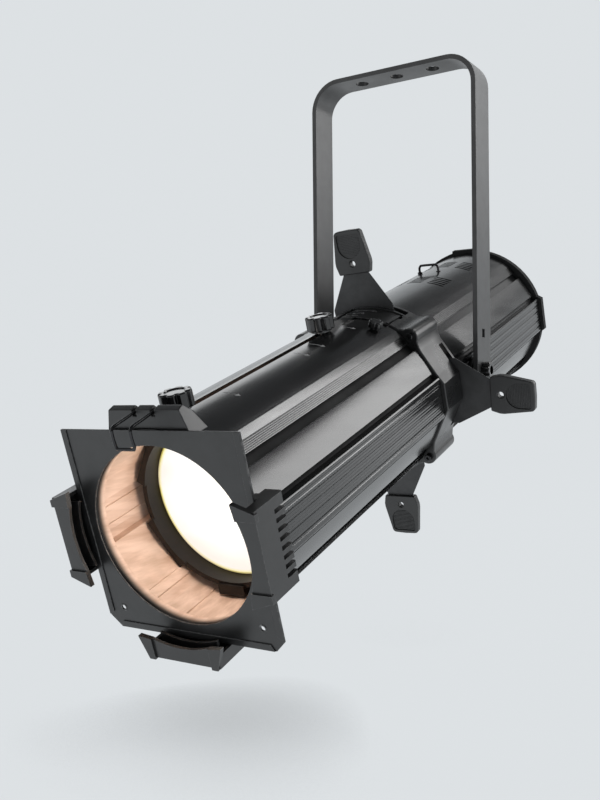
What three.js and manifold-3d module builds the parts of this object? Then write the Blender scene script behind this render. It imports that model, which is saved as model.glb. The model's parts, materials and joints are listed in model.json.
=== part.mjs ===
// Ellipsoidal spotlight (LED profile with a zoom tube) hanging in its yoke.
//
// Millimetres, +Z up. The origin is the middle clamp hole on top of the yoke, X is the tilt axis's
// direction and the lamp points towards -Y, nose down by TILT. Inside the lamp group the optical axis
// is the Y axis through the tilt axis: a "station" d is the distance in front of the tilt axis, so a
// point at station d, x to the right and h above the axis is (x, -d, h).
import * as THREE from 'three';
import { mergeVertices } from 'three/addons/utils/BufferGeometryUtils.js';
import Module from 'manifold-3d';

const wasm = await Module();
wasm.setup();

// ---- driving dimensions ----
const GAP = 0.3;                 // running gap between neighbouring pieces
const TILT = 18.9;               // nose-down angle, degrees
const SEGMENTS = 48;             // sides of a full tube circle

const YOKE = {
  width: 182, thick: 4.6, bar: 33.6, rise: 304.6, bend: 30,
  hole: 6.5, pitch: 39.7, pivotHole: 4.4,
};
const TUBE = { radius: 79, panelX: 81, panelH: 18.8, front: 363, rear: 80.6 };
const SLOT = { halfWidth: 3.5, front: 347, rear: 121 };
const HOUSING = { scale: 0.985, front: 33.9, rear: -212 };
const RING = { front: 80.3, rear: 34.3, radius: 80.5, sideX: 84.9, earRadius: 8.5, earAt: 80.5 };
const GATE = { slotFront: 46.6, slotRear: 38.4, slotHalf: 40, aperture: 27, bore: 71.2 };
const RECESS = { floor: 77.4, right: 60.5, left: 99.5, tubeLeft: 86, rear: 49, front: 108 };
const BEZEL = { front: 372.3, rear: 363.3, radius: 79.3, bore: 68.9 };
const HOLDER = {
  wallX: 87, outX: 89.6, lipRadius: 78.5, half: 32.5, lipHalf: 26, front: 390.5,
  combRear: 356, combFront: 369.5, combFloor: 83, combPitch: 6.57, combHalf: 1.6, endHalf: 25.2,
};
const FRAME = { half: 79.5, hole: 68.4, rear: 373.3, sheet: 374.3, front: 375.3, hem: 4.8, chamfer: 8.5 };
const BLADE = { inner: 28, half: 32, shoulder: 80, neck: 113, neckHalf: 13.4, end: 117.5, thick: 0.8 };
const GRIP = { start: 112.9, tip: 154.5, half: 18.4, tipHalf: 13.5, hole: 122.6, thick: 7 };
const FOCUS = { knob: 336, carrier: 301, lensRadius: 63 };
const ZOOM = { knob: 132, carrier: 118, lensRadius: 52 };
const CARRIER = { length: 22, radius: 67.5, shoeAngle: 32, shoeOut: 68, shoeHalf: 21.5, shoeFront: 24 };
const KNOB = { radius: 12.3, base: 80.4, top: 94.5 };
const HOOP = { at: -118, middle: -6, half: 11, rise: 7.6, radius: 1.3 };
const BAIL = { half: 8.2, radius: 1.15, slit: 1.6 };
const LOCK = { at: 97, turn: 25 };
const VENT = { middle: 23, half: 8.5, pitch: 6, width: 3, mouths: [-64, -139] };
const CAP = { rear: -219.4, front: -212.3, radius: 81, sideX: 83, bore: 68 };

const radians = THREE.MathUtils.degToRad;

// ---- materials ----
const paint = (colour, roughness, metalness) =>
  new THREE.MeshStandardMaterial({ color: colour, roughness, metalness });
const LOOK = {
  casing: paint(0x1b1c1d, 0.42, 0.4),
  yoke: paint(0x242526, 0.45, 0.4),
  plastic: paint(0x131313, 0.55, 0.0),
  rubber: paint(0x0f0f0f, 0.8, 0.0),
  blade: paint(0x1d1d1e, 0.5, 0.6),
  steel: paint(0x8d8f91, 0.3, 1.0),
  aluminium: paint(0xa9abad, 0.35, 1.0),
  glass: paint(0xe8f0f4, 0.05, 0.0),
  board: paint(0x1f4a2c, 0.6, 0.0),
  emitter: paint(0xffe7b8, 0.4, 0.0),
  display: paint(0x101820, 0.15, 0.0),
};

// ---- solids ----
// One closed mesh of merged vertices, its faces turned outwards.
function closed(geometry) {
  const source = geometry.clone();
  source.deleteAttribute('normal');
  source.deleteAttribute('uv');
  const merged = mergeVertices(source, 1e-4);
  const place = merged.attributes.position;
  const index = Array.from(merged.index.array);
  const kept = [];
  let volume = 0;
  const corner = [new THREE.Vector3(), new THREE.Vector3(), new THREE.Vector3()];
  for (let i = 0; i < index.length; i += 3) {
    const [a, b, c] = index.slice(i, i + 3);
    if (a === b || b === c || c === a) continue;
    kept.push(a, b, c);
    [a, b, c].forEach((n, k) => corner[k].fromBufferAttribute(place, n));
    volume += corner[0].dot(corner[1].clone().cross(corner[2]));
  }
  if (volume < 0) {
    for (let i = 0; i < kept.length; i += 3) [kept[i], kept[i + 1]] = [kept[i + 1], kept[i]];
  }
  merged.setIndex(kept);
  return merged;
}

function toManifold(geometry) {
  const merged = closed(geometry);
  return new wasm.Manifold(new wasm.Mesh({
    numProp: 3,
    vertProperties: new Float32Array(merged.attributes.position.array),
    triVerts: new Uint32Array(merged.index.array),
  }));
}

function toGeometry(manifold) {
  const mesh = manifold.getMesh();
  const geometry = new THREE.BufferGeometry();
  geometry.setAttribute('position', new THREE.BufferAttribute(mesh.vertProperties, 3));
  geometry.setIndex(new THREE.BufferAttribute(mesh.triVerts, 1));
  return geometry;
}

const join = (first, ...rest) =>
  toGeometry(rest.reduce((sum, piece) => sum.add(toManifold(piece)), toManifold(first)));
const cut = (first, ...rest) =>
  toGeometry(rest.reduce((left, piece) => left.subtract(toManifold(piece)), toManifold(first)));
const common = (first, second) => toGeometry(toManifold(first).intersect(toManifold(second)));

// ---- outlines: arrays of [u, v] points ----
function arc(cx, cy, radius, fromDeg, toDeg, steps) {
  return Array.from({ length: steps + 1 }, (_, i) => {
    const angle = radians(fromDeg + ((toDeg - fromDeg) * i) / steps);
    return [cx + radius * Math.cos(angle), cy + radius * Math.sin(angle)];
  });
}

const circle = (radius, steps = SEGMENTS, cx = 0, cy = 0) =>
  arc(cx, cy, radius, 0, 360, steps).slice(0, -1);

const rectangle = (u0, v0, u1, v1) => [[u0, v0], [u1, v0], [u1, v1], [u0, v1]];

function roundedRectangle(u0, v0, u1, v1, r, steps = 3) {
  return [
    ...arc(u1 - r, v0 + r, r, -90, 0, steps), ...arc(u1 - r, v1 - r, r, 0, 90, steps),
    ...arc(u0 + r, v1 - r, r, 90, 180, steps), ...arc(u0 + r, v0 + r, r, 180, 270, steps),
  ];
}

// A knob's outline: `lobes` round lobes with hollows between them.
function lobed(radius, depth, lobes, steps = 6) {
  return Array.from({ length: lobes * steps }, (_, i) => {
    const angle = (2 * Math.PI * i) / (lobes * steps);
    const r = radius - depth * (0.5 - 0.5 * Math.cos(lobes * angle));
    return [r * Math.cos(angle), r * Math.sin(angle)];
  });
}

// A full outline from its upper right quarter, which runs from the side (u > 0, v = 0) to the top.
function mirrored(quarter) {
  const upperLeft = quarter.map(([u, v]) => [-u, v]).reverse();
  const upper = [...quarter, ...upperLeft];
  const lower = upper.map(([u, v]) => [-u, -v]);
  const all = [...upper, ...lower];
  return all.filter(([u, v], i) => {
    const [pu, pv] = all[(i + all.length - 1) % all.length];
    return Math.hypot(u - pu, v - pv) > 1e-6;
  });
}

function flatShape(outline, holes = []) {
  const shape = new THREE.Shape(outline.map(([u, v]) => new THREE.Vector2(u, v)));
  shape.holes = holes.map((hole) => new THREE.Path(hole.map(([u, v]) => new THREE.Vector2(u, v))));
  return shape;
}

const extruded = (outline, depth, holes) =>
  new THREE.ExtrudeGeometry(flatShape(outline, holes), { depth, bevelEnabled: false, curveSegments: 1 });

// An (x, h) outline run along the optical axis between two stations.
function alongAxis(outline, rear, front, holes) {
  return extruded(outline, front - rear, holes).rotateX(Math.PI / 2).translate(0, -rear, 0);
}

// A (station, h) outline run across the lamp between two x values.
function acrossLamp(outline, x0, x1, holes) {
  const basis = new THREE.Matrix4().makeBasis(
    new THREE.Vector3(0, -1, 0), new THREE.Vector3(0, 0, 1), new THREE.Vector3(-1, 0, 0),
  );
  return extruded(outline, x1 - x0, holes).applyMatrix4(basis).translate(x1, 0, 0);
}

// An (x, station) outline run upwards between two heights.
function upwards(outline, h0, h1, holes) {
  const basis = new THREE.Matrix4().makeBasis(
    new THREE.Vector3(1, 0, 0), new THREE.Vector3(0, -1, 0), new THREE.Vector3(0, 0, -1),
  );
  return extruded(outline, h1 - h0, holes).applyMatrix4(basis).translate(0, 0, h1);
}

// A (radius, station) profile turned about the optical axis.
function turned(profile, steps = SEGMENTS) {
  return new THREE.LatheGeometry(profile.map(([r, d]) => new THREE.Vector2(r, -d)), steps);
}

const box = (x0, d0, h0, x1, d1, h1) => alongAxis(rectangle(x0, h0, x1, h1), d0, d1);

// A round wire along a smooth path of points.
function wire(points, radius, closedPath = false, steps = 40, sides = 8) {
  const path = new THREE.CatmullRomCurve3(points, closedPath, 'catmullrom', 0.2);
  return new THREE.ExtrudeGeometry(flatShape(circle(radius, sides)), {
    steps, extrudePath: path, bevelEnabled: false,
  });
}

const station = (x, d, h) => new THREE.Vector3(x, -d, h);

// ---- the scene graph ----
const spotlight = new THREE.Group();
const lamp = new THREE.Group();
lamp.position.z = -YOKE.rise;
lamp.rotation.x = radians(TILT);
spotlight.add(lamp);

function add(parent, name, geometry, material, turnY = 0, position = null) {
  const mesh = new THREE.Mesh(closed(geometry), material);
  mesh.name = name;
  mesh.rotation.y = turnY;
  if (position) mesh.position.copy(position);
  parent.add(mesh);
  return mesh;
}

// ---- yoke ----
function yokeBar() {
  const half = YOKE.width / 2;
  const path = (w, top, r) => [
    ...arc(w - r, top - r, r, 0, 90, 10), ...arc(-w + r, top - r, r, 90, 180, 10),
  ];
  const inner = half - YOKE.thick;
  const bottom = -YOKE.rise - YOKE.bar / 2;
  const outline = [
    [half, bottom], ...path(half, 0, YOKE.bend), [-half, bottom], [-inner, bottom],
    ...path(inner, -YOKE.thick, YOKE.bend - YOKE.thick).reverse(), [inner, bottom],
  ];
  const bar = extruded(outline, YOKE.bar).rotateX(Math.PI / 2).translate(0, YOKE.bar / 2, 0);
  const endRadius = YOKE.bar / 2;
  const side = [
    [endRadius, 10], [-endRadius, 10], ...arc(0, -YOKE.rise, endRadius, 180, 360, 14),
  ];
  const across = new THREE.Matrix4().makeBasis(
    new THREE.Vector3(0, 1, 0), new THREE.Vector3(0, 0, 1), new THREE.Vector3(1, 0, 0),
  );
  const envelope = extruded(side, YOKE.width + 20).applyMatrix4(across).translate(-half - 10, 0, 0);
  const tools = [-YOKE.pitch, 0, YOKE.pitch].map((x) =>
    new THREE.CylinderGeometry(YOKE.hole, YOKE.hole, 20, 24).rotateX(Math.PI / 2).translate(x, 0, 0));
  const pivots = new THREE.CylinderGeometry(YOKE.pivotHole, YOKE.pivotHole, YOKE.width + 20, 20)
    .rotateZ(Math.PI / 2).translate(0, 0, -YOKE.rise);
  const window = new THREE.BoxGeometry(YOKE.width + 20, 6, 8).translate(0, -1.5, 35.5 - YOKE.rise);
  return cut(common(bar, envelope), ...tools, pivots, window);
}
add(spotlight, 'yoke_bar', yokeBar(), LOOK.yoke);

// Tilt hardware: a lobed knob with its stud outside each leg, a friction washer inside it.
const LEG_IN = YOKE.width / 2 - YOKE.thick;
const LEG_OUT = YOKE.width / 2;
for (const [side, sign] of [['right', 1], ['left', -1]]) {
  const knob = join(
    extruded(lobed(8.2, 1.4, 6), 7).rotateY(Math.PI / 2).translate(LEG_OUT + GAP, 0, 0),
    new THREE.CylinderGeometry(3.9, 3.9, 11, 20).rotateZ(-Math.PI / 2).translate(LEG_OUT - 3, 0, 0),
  );
  const position = new THREE.Vector3(0, 0, -YOKE.rise);
  add(spotlight, `tilt_knob_${side}`, sign > 0 ? knob : knob.scale(-1, 1, 1), LOOK.plastic, 0, position);
  const washer = new THREE.ExtrudeGeometry(flatShape(circle(13, 28), [circle(4.4, 20)]), {
    depth: 1.6, bevelEnabled: false,
  }).rotateY(Math.PI / 2).translate(sign * (LEG_IN - GAP - 0.8) - 0.8, 0, 0);
  add(spotlight, `friction_washer_${side}`, washer, LOOK.rubber, 0, position);
}

// ---- lens tube ----
// Outer quarter: ribbed side panel, notch, broad flat, recessed corner channel, narrow flat, round top.
function tubeQuarter(ribbed) {
  const { panelX, panelH, radius } = TUBE;
  const ribs = [];
  if (ribbed) {
    for (const v of [2.6, 7.4, 12.2]) {
      ribs.push([panelX, v], [panelX - 1.4, v + 0.5], [panelX - 1.4, v + 1.9], [panelX, v + 2.4]);
    }
  }
  return [
    ...ribs, [panelX, panelH], [75.2, 18.6], [73.6, 21.2], [75.7, 22.5], [62.6, 45.7], [60.0, 43.4],
    [54.4, 49.6], [57.0, 51.9], [52.2, 58.8], [51.6, 59.7], [45.7, 64.4],
    ...arc(0, 0, radius, 51.5, 90, 8).slice(1),
  ];
}
const tubeBore = mirrored([
  [78, 16.2], [71.5, 17.2], [71, 21.4], [66.9, 32], [35.6, 67], ...arc(0, 0, 75.8, 62, 90, 6).slice(1),
]);

// The band taken off the top, from the recess's right edge round to the given angle.
function topRecess(left, rear, front) {
  const { floor, right } = RECESS;
  return alongAxis([...arc(0, 0, floor, right, left, 8), ...arc(0, 0, 90, left, right, 3)], rear, front);
}

function lensTube() {
  const tube = alongAxis(mirrored(tubeQuarter(true)), TUBE.rear, TUBE.front, [tubeBore]);
  const slot = box(-SLOT.halfWidth, SLOT.rear, 60, SLOT.halfWidth, SLOT.front, 90);
  return cut(tube, slot, topRecess(RECESS.tubeLeft, TUBE.rear - 1, RECESS.front));
}
add(lamp, 'lens_tube', lensTube(), LOOK.casing);

// ---- front bezel, accessory holders and latch block ----
add(lamp, 'front_bezel', alongAxis(circle(BEZEL.radius), BEZEL.rear, BEZEL.front, [circle(BEZEL.bore)]),
  LOOK.casing);

// The holder on the +X side: an outer wall, two lips with a hollow edge, end plates and wedges,
// and a comb cut into the rear edge of the wall, with solid ends.
function accessoryHolder() {
  const { wallX, outX, lipRadius, half, lipHalf, front } = HOLDER;
  const { combRear, combFront, combFloor, combPitch, combHalf, endHalf } = HOLDER;
  const lipAngle = THREE.MathUtils.radToDeg(Math.asin(lipHalf / lipRadius));
  const lip = [[wallX + 1, lipHalf], ...arc(0, 0, lipRadius, lipAngle, -lipAngle, 8), [wallX + 1, -lipHalf]];
  const wedge = (s) => [[72.6, s * 37.4], [90.6, s * 31], [90.6, s * 25.6], [74.1, s * 25.6]];
  const clear = FRAME.half + 0.8;
  const plate = (s) => rectangle(clear, Math.min(s * half, s * (half - 2.6)), outX,
    Math.max(s * half, s * (half - 2.6)));
  const tail = [
    [81.3, combRear], [outX - 1.5, combRear], [outX, combRear + 2], [outX, 364.2], [81.3, 364.2],
  ];
  const ends = [-half, endHalf].map((h) => box(75.6, combRear, h, outX - 1.5, 364.2, h + half - endHalf));
  const gaps = [];
  for (let i = -3.5; i <= 3.5; i += 1) {
    const h = i * combPitch;
    gaps.push(box(combFloor, combRear - 1, h - combHalf, outX + 1, combFront, h + combHalf));
  }
  const seat = alongAxis(circle(BEZEL.radius + GAP), 340, BEZEL.front + 0.1);
  const plateBehind = box(70, 363.4, -half, outX, BEZEL.front, half);
  const back = cut(join(plateBehind, upwards(tail, -half, half), ...ends), seat, ...gaps);
  return join(
    back,
    box(wallX, combFront, -half, outX, front, half),
    alongAxis(lip, front - 2.5, front), alongAxis(lip, 379, 381),
    ...[1, -1].flatMap((s) => [
      alongAxis(wedge(s), 388, 392), alongAxis(plate(s), 363, front),
    ]),
  );
}
for (const [side, turn] of [['right', 0], ['bottom', 90], ['left', 180]]) {
  add(lamp, `holder_${side}`, accessoryHolder(), LOOK.plastic, radians(turn));
}

// Latch block on top: front face, small top face, sloping back; sides drawn in towards the top.
function latchBlock() {
  const side = [[371.5, 74], [371.5, 93], [366, 94.8], [359.6, 88.8], [352.4, 74]];
  const block = acrossLamp(side, -33.5, 33.5);
  const place = block.attributes.position;
  for (let i = 0; i < place.count; i += 1) {
    place.setX(i, place.getX(i) * (1 + (86 - place.getZ(i)) * 0.009));
  }
  const slits = [-BAIL.half, BAIL.half].map((x) => box(x - BAIL.slit, 361, 88.4, x + BAIL.slit, 380, 100));
  const seat = alongAxis(circle(BEZEL.radius + GAP), 340, 380);
  return cut(block, seat, ...slits);
}
add(lamp, 'latch_block', latchBlock(), LOOK.plastic);

// Wire bail that closes both accessory slots: legs forward from the block, then a hook down.
function frameBail() {
  const { half, radius } = BAIL;
  const leg = [
    [366, 91.9], [378, 90.4], [390, 89.2], [394.2, 88.2], [395.5, 85.6], [395.1, 78.6], [394.9, 76],
  ];
  const right = leg.map(([d, h]) => station(half, d, h));
  const left = leg.map(([d, h]) => station(-half, d, h)).reverse();
  const bottom = [station(6.6, 394.9, 74.2), station(0, 394.9, 73.9), station(-6.6, 394.9, 74.2)];
  return wire([...right, ...bottom, ...left], radius, false, 56);
}
add(lamp, 'frame_bail', frameBail(), LOOK.steel);

// Colour frame: a square sheet with a round window, hems on three sides and two rivet holes.
function colourFrame() {
  const { half, hole, chamfer, hem, rear, sheet, front } = FRAME;
  const outline = [
    [half, half], [-half, half], [-half, -half + chamfer], [-half + chamfer, -half],
    [half - chamfer, -half], [half, -half + chamfer],
  ];
  const inner = half - hem;
  const hemLine = [
    [half, half], [inner, half], [inner, -half + chamfer + 2], [half - chamfer - 2, -inner],
    [-half + chamfer + 2, -inner], [-inner, -half + chamfer + 2], [-inner, half], [-half, half],
    [-half, -half + chamfer], [-half + chamfer, -half], [half - chamfer, -half], [half, -half + chamfer],
  ];
  const rivets = [-63.5, 63.5].map((x) => circle(1.8, 12, x, -62.7));
  return join(
    alongAxis(outline, rear, sheet, [circle(hole, 64), ...rivets]),
    alongAxis(hemLine, sheet - 0.1, front),
  );
}
add(lamp, 'colour_frame', colourFrame(), LOOK.casing);

// ---- gate housing: the ring with ears, shutter slots and the pattern slot ----
function ringQuarter() {
  const { radius, sideX, earRadius, earAt } = RING;
  const ear = earAt * Math.SQRT1_2;
  return [
    [sideX, 12.6], [79.2, 21.2], [66.3, 44.6], ...arc(ear, ear, earRadius, -20, 110, 8),
    ...arc(0, 0, radius, 57.5, 90, 7),
  ];
}

function gateHousing() {
  const body = alongAxis(mirrored(ringQuarter()), RING.rear, RING.front, [circle(GATE.bore)]);
  const upright = box(-GATE.slotHalf, GATE.slotRear, -100, GATE.slotHalf, GATE.slotFront, 100);
  const level = box(-100, GATE.slotRear, -GATE.slotHalf, 100, GATE.slotFront, GATE.slotHalf);
  const pattern = box(-37, 53, 50, 41, 60, 100);
  return cut(body, upright, level, pattern, topRecess(RECESS.left, RECESS.rear, RING.front + 1));
}
add(lamp, 'gate_housing', gateHousing(), LOOK.casing);

add(lamp, 'gate_plate', alongAxis(circle(GATE.bore - GAP), 34.4, 36, [circle(GATE.aperture, 32)]),
  LOOK.steel);

// Pattern (gobo) holder: a plate with a round window and a tab that ends just under its cover.
function patternHolder() {
  const outline = [[36, -36], [36, 64], [14, 66], [14, 75], [-14, 75], [-14, 66], [-36, 64], [-36, -36]];
  return alongAxis(outline, 57.2, 58.6, [circle(30, 32)]);
}
add(lamp, 'pattern_holder', patternHolder(), LOOK.blade);

// Curved cover that lies in the recess over the pattern slot.
const coverArc = [...arc(0, 0, RECESS.floor + GAP, 62, 98.8, 9), ...arc(0, 0, 79.2, 98.8, 62, 9)];
add(lamp, 'pattern_cover', alongAxis(coverArc, RECESS.rear + GAP, 79.6), LOOK.casing);

for (let i = 0; i < 4; i += 1) {
  const angle = radians(45 + 90 * i);
  const head = turned([[0, 0], [3.4, 0], [3.4, 2], [2.4, 3], [1.5, 3], [1.5, 1.4], [0, 1.4]], 12);
  const at = station(82.6 * Math.cos(angle), RING.front + GAP, 82.6 * Math.sin(angle));
  add(lamp, `ring_screw_${i + 1}`, head, LOOK.steel, 0, at);
}

// Small lobed lock screw in the recess on top of the tube's rear end.
const lockScrew = join(
  extruded(lobed(6.4, 1.3, 6), 7).translate(0, 0, 79.2),
  new THREE.CylinderGeometry(2.4, 2.4, 4, 16).rotateX(Math.PI / 2).translate(0, 0, 80),
);
add(lamp, 'lock_screw', lockScrew, LOOK.plastic, radians(LOCK.turn), station(0, LOCK.at, 0));

// ---- framing shutters ----
function shutterBlade() {
  const { inner, half, shoulder, neck, neckHalf, end, thick } = BLADE;
  const outline = [
    [-half, inner], [half, inner], [half, shoulder], [neckHalf, neck], [neckHalf, end],
    [-neckHalf, end], [-neckHalf, neck], [-half, shoulder],
  ];
  return alongAxis(outline, -thick / 2, thick / 2);
}

function shutterGrip() {
  const { start, tip, half, tipHalf, hole, thick } = GRIP;
  const outline = [
    [-16.2, start], [16.2, start], [half, hole - 1], [half, hole + 3],
    ...arc(tipHalf - 3.2, tip - 4.4, 4, 15, 78, 4), [0, tip],
    ...arc(-tipHalf + 3.2, tip - 4.4, 4, 102, 165, 4), [-half, hole + 3], [-half, hole - 1],
  ];
  const body = alongAxis(outline, -thick / 2, thick / 2, [circle(2.8, 16, 0, hole)]);
  const dish = [...arc(0, 139.8, 12.2, 180, 360, 12), [12.2, 147], [9.8, 151], [-9.8, 151], [-12.2, 147]];
  const pocket = box(-BLADE.neckHalf - GAP, -0.7, start - 5, BLADE.neckHalf + GAP, 0.7, BLADE.end + GAP);
  return cut(body, alongAxis(dish, thick / 2 - 1.2, thick), pocket);
}

// [name, turn from straight up, station, how far it is pulled out beyond the others]
const SHUTTERS = [
  ['top', -2.4, 45.4, 0], ['right', 94.5, 43.4, 0], ['left', 268, 41.6, 0], ['bottom', 180, 39.6, 5],
];
for (const [side, turn, d, pull] of SHUTTERS) {
  const angle = radians(turn);
  const at = station(pull * Math.sin(angle), d, pull * Math.cos(angle));
  add(lamp, `shutter_blade_${side}`, shutterBlade(), LOOK.blade, angle, at);
  add(lamp, `shutter_grip_${side}`, shutterGrip(), LOOK.plastic, angle, at);
}

// ---- focus and zoom carriages ----
// Carrier ring with four shoes, a foot and a pad that reaches forward to the knob's stud; the lens sits
// in its bore against a small lip.
function lensCarrier(bore, padFront) {
  const { length, radius, shoeAngle, shoeOut, shoeHalf, shoeFront } = CARRIER;
  const ring = turned([
    [bore - 3, 0], [radius, 0], [radius, length], [bore + GAP, length], [bore + GAP, 2.5],
    [bore - 3, 2.5], [bore - 3, 0],
  ]);
  const shoes = [shoeAngle, 180 - shoeAngle, 180 + shoeAngle, -shoeAngle].map((deg) =>
    box(60, 1, -shoeHalf, shoeOut, shoeFront, shoeHalf).rotateY(radians(deg)));
  const pad = box(-9, 2, radius - 3, 9, padFront, 71.5);
  const foot = box(-12, 2, -73, 12, shoeFront, 3 - radius);
  return cut(join(ring, ...shoes, pad, foot), alongAxis(circle(bore + GAP), 2.5, length + 5));
}

function lens(radius, edge, bulge) {
  const front = Array.from({ length: 9 }, (_, i) => {
    const r = (radius * i) / 8;
    return [r, edge + bulge * (1 - (r / radius) ** 2)];
  });
  return turned([[0, 0], [radius, 0], ...front.reverse()]);
}

function lockKnob() {
  const stud = new THREE.CylinderGeometry(2.6, 2.6, 11, 16).rotateX(Math.PI / 2).translate(0, 0, 77.3);
  const { radius, base, top } = KNOB;
  const grip = extruded(lobed(radius, 2.2, 8), top - base - 1.5).translate(0, 0, base + 1.5);
  const collar = new THREE.CylinderGeometry(9, 9, 2, 24).rotateX(Math.PI / 2).translate(0, 0, base + 1);
  return join(stud, grip, collar);
}

for (const [name, size] of [['focus', FOCUS], ['zoom', ZOOM]]) {
  const rear = station(0, size.carrier, 0);
  const padFront = Math.max(CARRIER.length - 2, size.knob - size.carrier + 9);
  add(lamp, `${name}_carrier`, lensCarrier(size.lensRadius, padFront), LOOK.plastic, 0, rear);
  add(lamp, `${name}_lens`, lens(size.lensRadius, 5, 9), LOOK.glass, 0, station(0, size.carrier + 2.8, 0));
  add(lamp, `${name}_knob`, lockKnob(), LOOK.plastic, 0, station(0, size.knob, 0));
}

// ---- light engine inside the rear housing ----
function rearHousing() {
  const k = HOUSING.scale;
  const outer = mirrored(tubeQuarter(true).map(([u, v]) => [u * k, v * k]));
  const bore = mirrored([
    [77, 15.9], [70.3, 16.9], [69.8, 21], [65.8, 31.4], [35, 66], ...arc(0, 0, 74.6, 62, 90, 6).slice(1),
  ]);
  const shell = alongAxis(outer, HOUSING.rear, HOUSING.front, [bore]);
  const boss = (x0, x1) => new THREE.CylinderGeometry(13, 13, x1 - x0, 28)
    .rotateZ(Math.PI / 2).translate((x0 + x1) / 2, 0, 0);
  const stud = new THREE.CylinderGeometry(4.4, 4.4, 200, 20).rotateZ(Math.PI / 2);
  const vents = [];
  const { middle, half, pitch, width, mouths } = VENT;
  for (const mouth of mouths) {
    for (let i = 0; i < 5; i += 1) {
      for (const x of [-middle, 0, middle]) {
        vents.push(box(x - half, mouth - pitch * i - width, 60, x + half, mouth - pitch * i, 90));
      }
    }
  }
  const bossX = LEG_IN - 2 * GAP - 1.6;
  return cut(join(shell, boss(77, bossX), boss(-bossX, -77)), stud, ...vents);
}
add(lamp, 'rear_housing', rearHousing(), LOOK.casing);

function heatSink() {
  const fins = [];
  for (let i = -5; i <= 5; i += 1) {
    const x = i * 8.4;
    const tall = Math.sqrt(48 ** 2 - x ** 2);
    fins.push(box(x - 1, -128, -tall, x + 1, -45, tall));
  }
  return join(turned([[0, -46], [48, -46], [48, -40], [0, -40]], 32), ...fins);
}
add(lamp, 'heat_sink', heatSink(), LOOK.aluminium);
add(lamp, 'led_board', box(-26, -39.7, -26, 26, -37.7, 26), LOOK.board);
add(lamp, 'led_emitter', turned([[0, -37.4], [14, -37.4], [14, -36.2], [0, -36.2]], 24), LOOK.emitter);
const reflectorWall = [[17, -35.9], [19, -35.9], [46, 18], [44, 18], [17, -35.9]];
add(lamp, 'reflector', turned(reflectorWall, 32), LOOK.aluminium);
add(lamp, 'condenser_lens', lens(44, 3, 8).translate(0, -18.3, 0), LOOK.glass);
add(lamp, 'power_supply', box(-25, -140, 51, 25, -60, 65), LOOK.steel);
add(lamp, 'driver_board', box(-30, -150, -60, 30, -60, -58.4), LOOK.board);

function fanFrame() {
  const plate = alongAxis(roundedRectangle(-40, -40, 40, 40, 5), -190, -165, [circle(37, 32)]);
  const bridge = join(box(-38, -189.5, -3, 38, -187.5, 3), box(-3, -189.5, -38, 3, -187.5, 38),
    turned([[0, -189.5], [12, -189.5], [12, -187.5], [0, -187.5]], 20));
  return join(plate, bridge);
}
add(lamp, 'fan_frame', fanFrame(), LOOK.plastic);

function fanRotor() {
  const hub = turned([[0, -186.5], [14, -186.5], [14, -170], [0, -170]], 24);
  const blades = Array.from({ length: 7 }, (_, i) =>
    new THREE.BoxGeometry(22, 1.6, 14).rotateX(radians(38)).translate(23, 178.2, 0)
      .rotateY(radians((360 * i) / 7)));
  return join(hub, ...blades);
}
add(lamp, 'fan_rotor', fanRotor(), LOOK.plastic);

// ---- rear cap, control panel and connectors ----
function rearCap() {
  const { rear, front, radius, sideX, bore } = CAP;
  const quarter = [
    [sideX, 18], [78.3, 20.8], ...arc(0, 0, radius, 15, 78, 12), [16.4, 82.2],
  ];
  return alongAxis(mirrored(quarter), rear, front, [circle(bore)]);
}
add(lamp, 'rear_cap', rearCap(), LOOK.casing);

// Sockets on the panel: [name, x, h, outer radius, bore radius, depth]
const SOCKETS = [
  ['power_inlet', -31, -8, 14, 11, 14], ['power_outlet', 31, -8, 14, 11, 14],
  ['data_inlet', -21, -43, 11, 8.6, 11], ['data_outlet', 21, -43, 11, 8.6, 11],
];
const BUTTONS = [-24, -8, 8, 24];
const BUTTON_H = 18;
const FUSE = { x: 0, h: -22, radius: 7 };
function rearPanel() {
  const holes = [
    ...SOCKETS.map(([, x, h, outer]) => circle(outer - 2 + GAP, 24, x, h)),
    ...BUTTONS.map((x) => circle(3.8, 16, x, BUTTON_H)),
    circle(FUSE.radius - 1.2, 16, FUSE.x, FUSE.h),
    roundedRectangle(-24, 30, 24, 50, 2),
  ];
  return alongAxis(circle(CAP.bore - GAP), -216.5, -214.5, holes);
}
add(lamp, 'rear_panel', rearPanel(), LOOK.casing);
const displayOutline = roundedRectangle(-23.7, 30.3, 23.7, 49.7, 2);
add(lamp, 'display_window', alongAxis(displayOutline, -217, -214), LOOK.display);

for (const [name, x, h, outer, bore, depth] of SOCKETS) {
  const shell = turned([
    [0, -203.5 + 14 - depth], [outer - 2, -203.5 + 14 - depth], [outer - 2, -216.8], [outer, -216.8],
    [outer, -218.6], [bore, -218.6], [bore, -205.5 + 14 - depth], [0, -205.5 + 14 - depth],
  ], 24);
  add(lamp, name, shell, LOOK.plastic, 0, station(x, 0, h));
}
const fuse = turned([
  [0, -204], [FUSE.radius - 1.5, -204], [FUSE.radius - 1.5, -216.8], [FUSE.radius, -216.8],
  [FUSE.radius, -219.2], [0, -219.2],
], 20);
add(lamp, 'fuse_holder', fuse, LOOK.plastic, 0, station(FUSE.x, 0, FUSE.h));
BUTTONS.forEach((x, i) => {
  const button = turned([[0, -218.4], [3.5, -218.4], [3.5, -213.5], [0, -213.5]], 16);
  add(lamp, `menu_button_${i + 1}`, button, LOOK.rubber, 0, station(x, 0, BUTTON_H));
});

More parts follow.
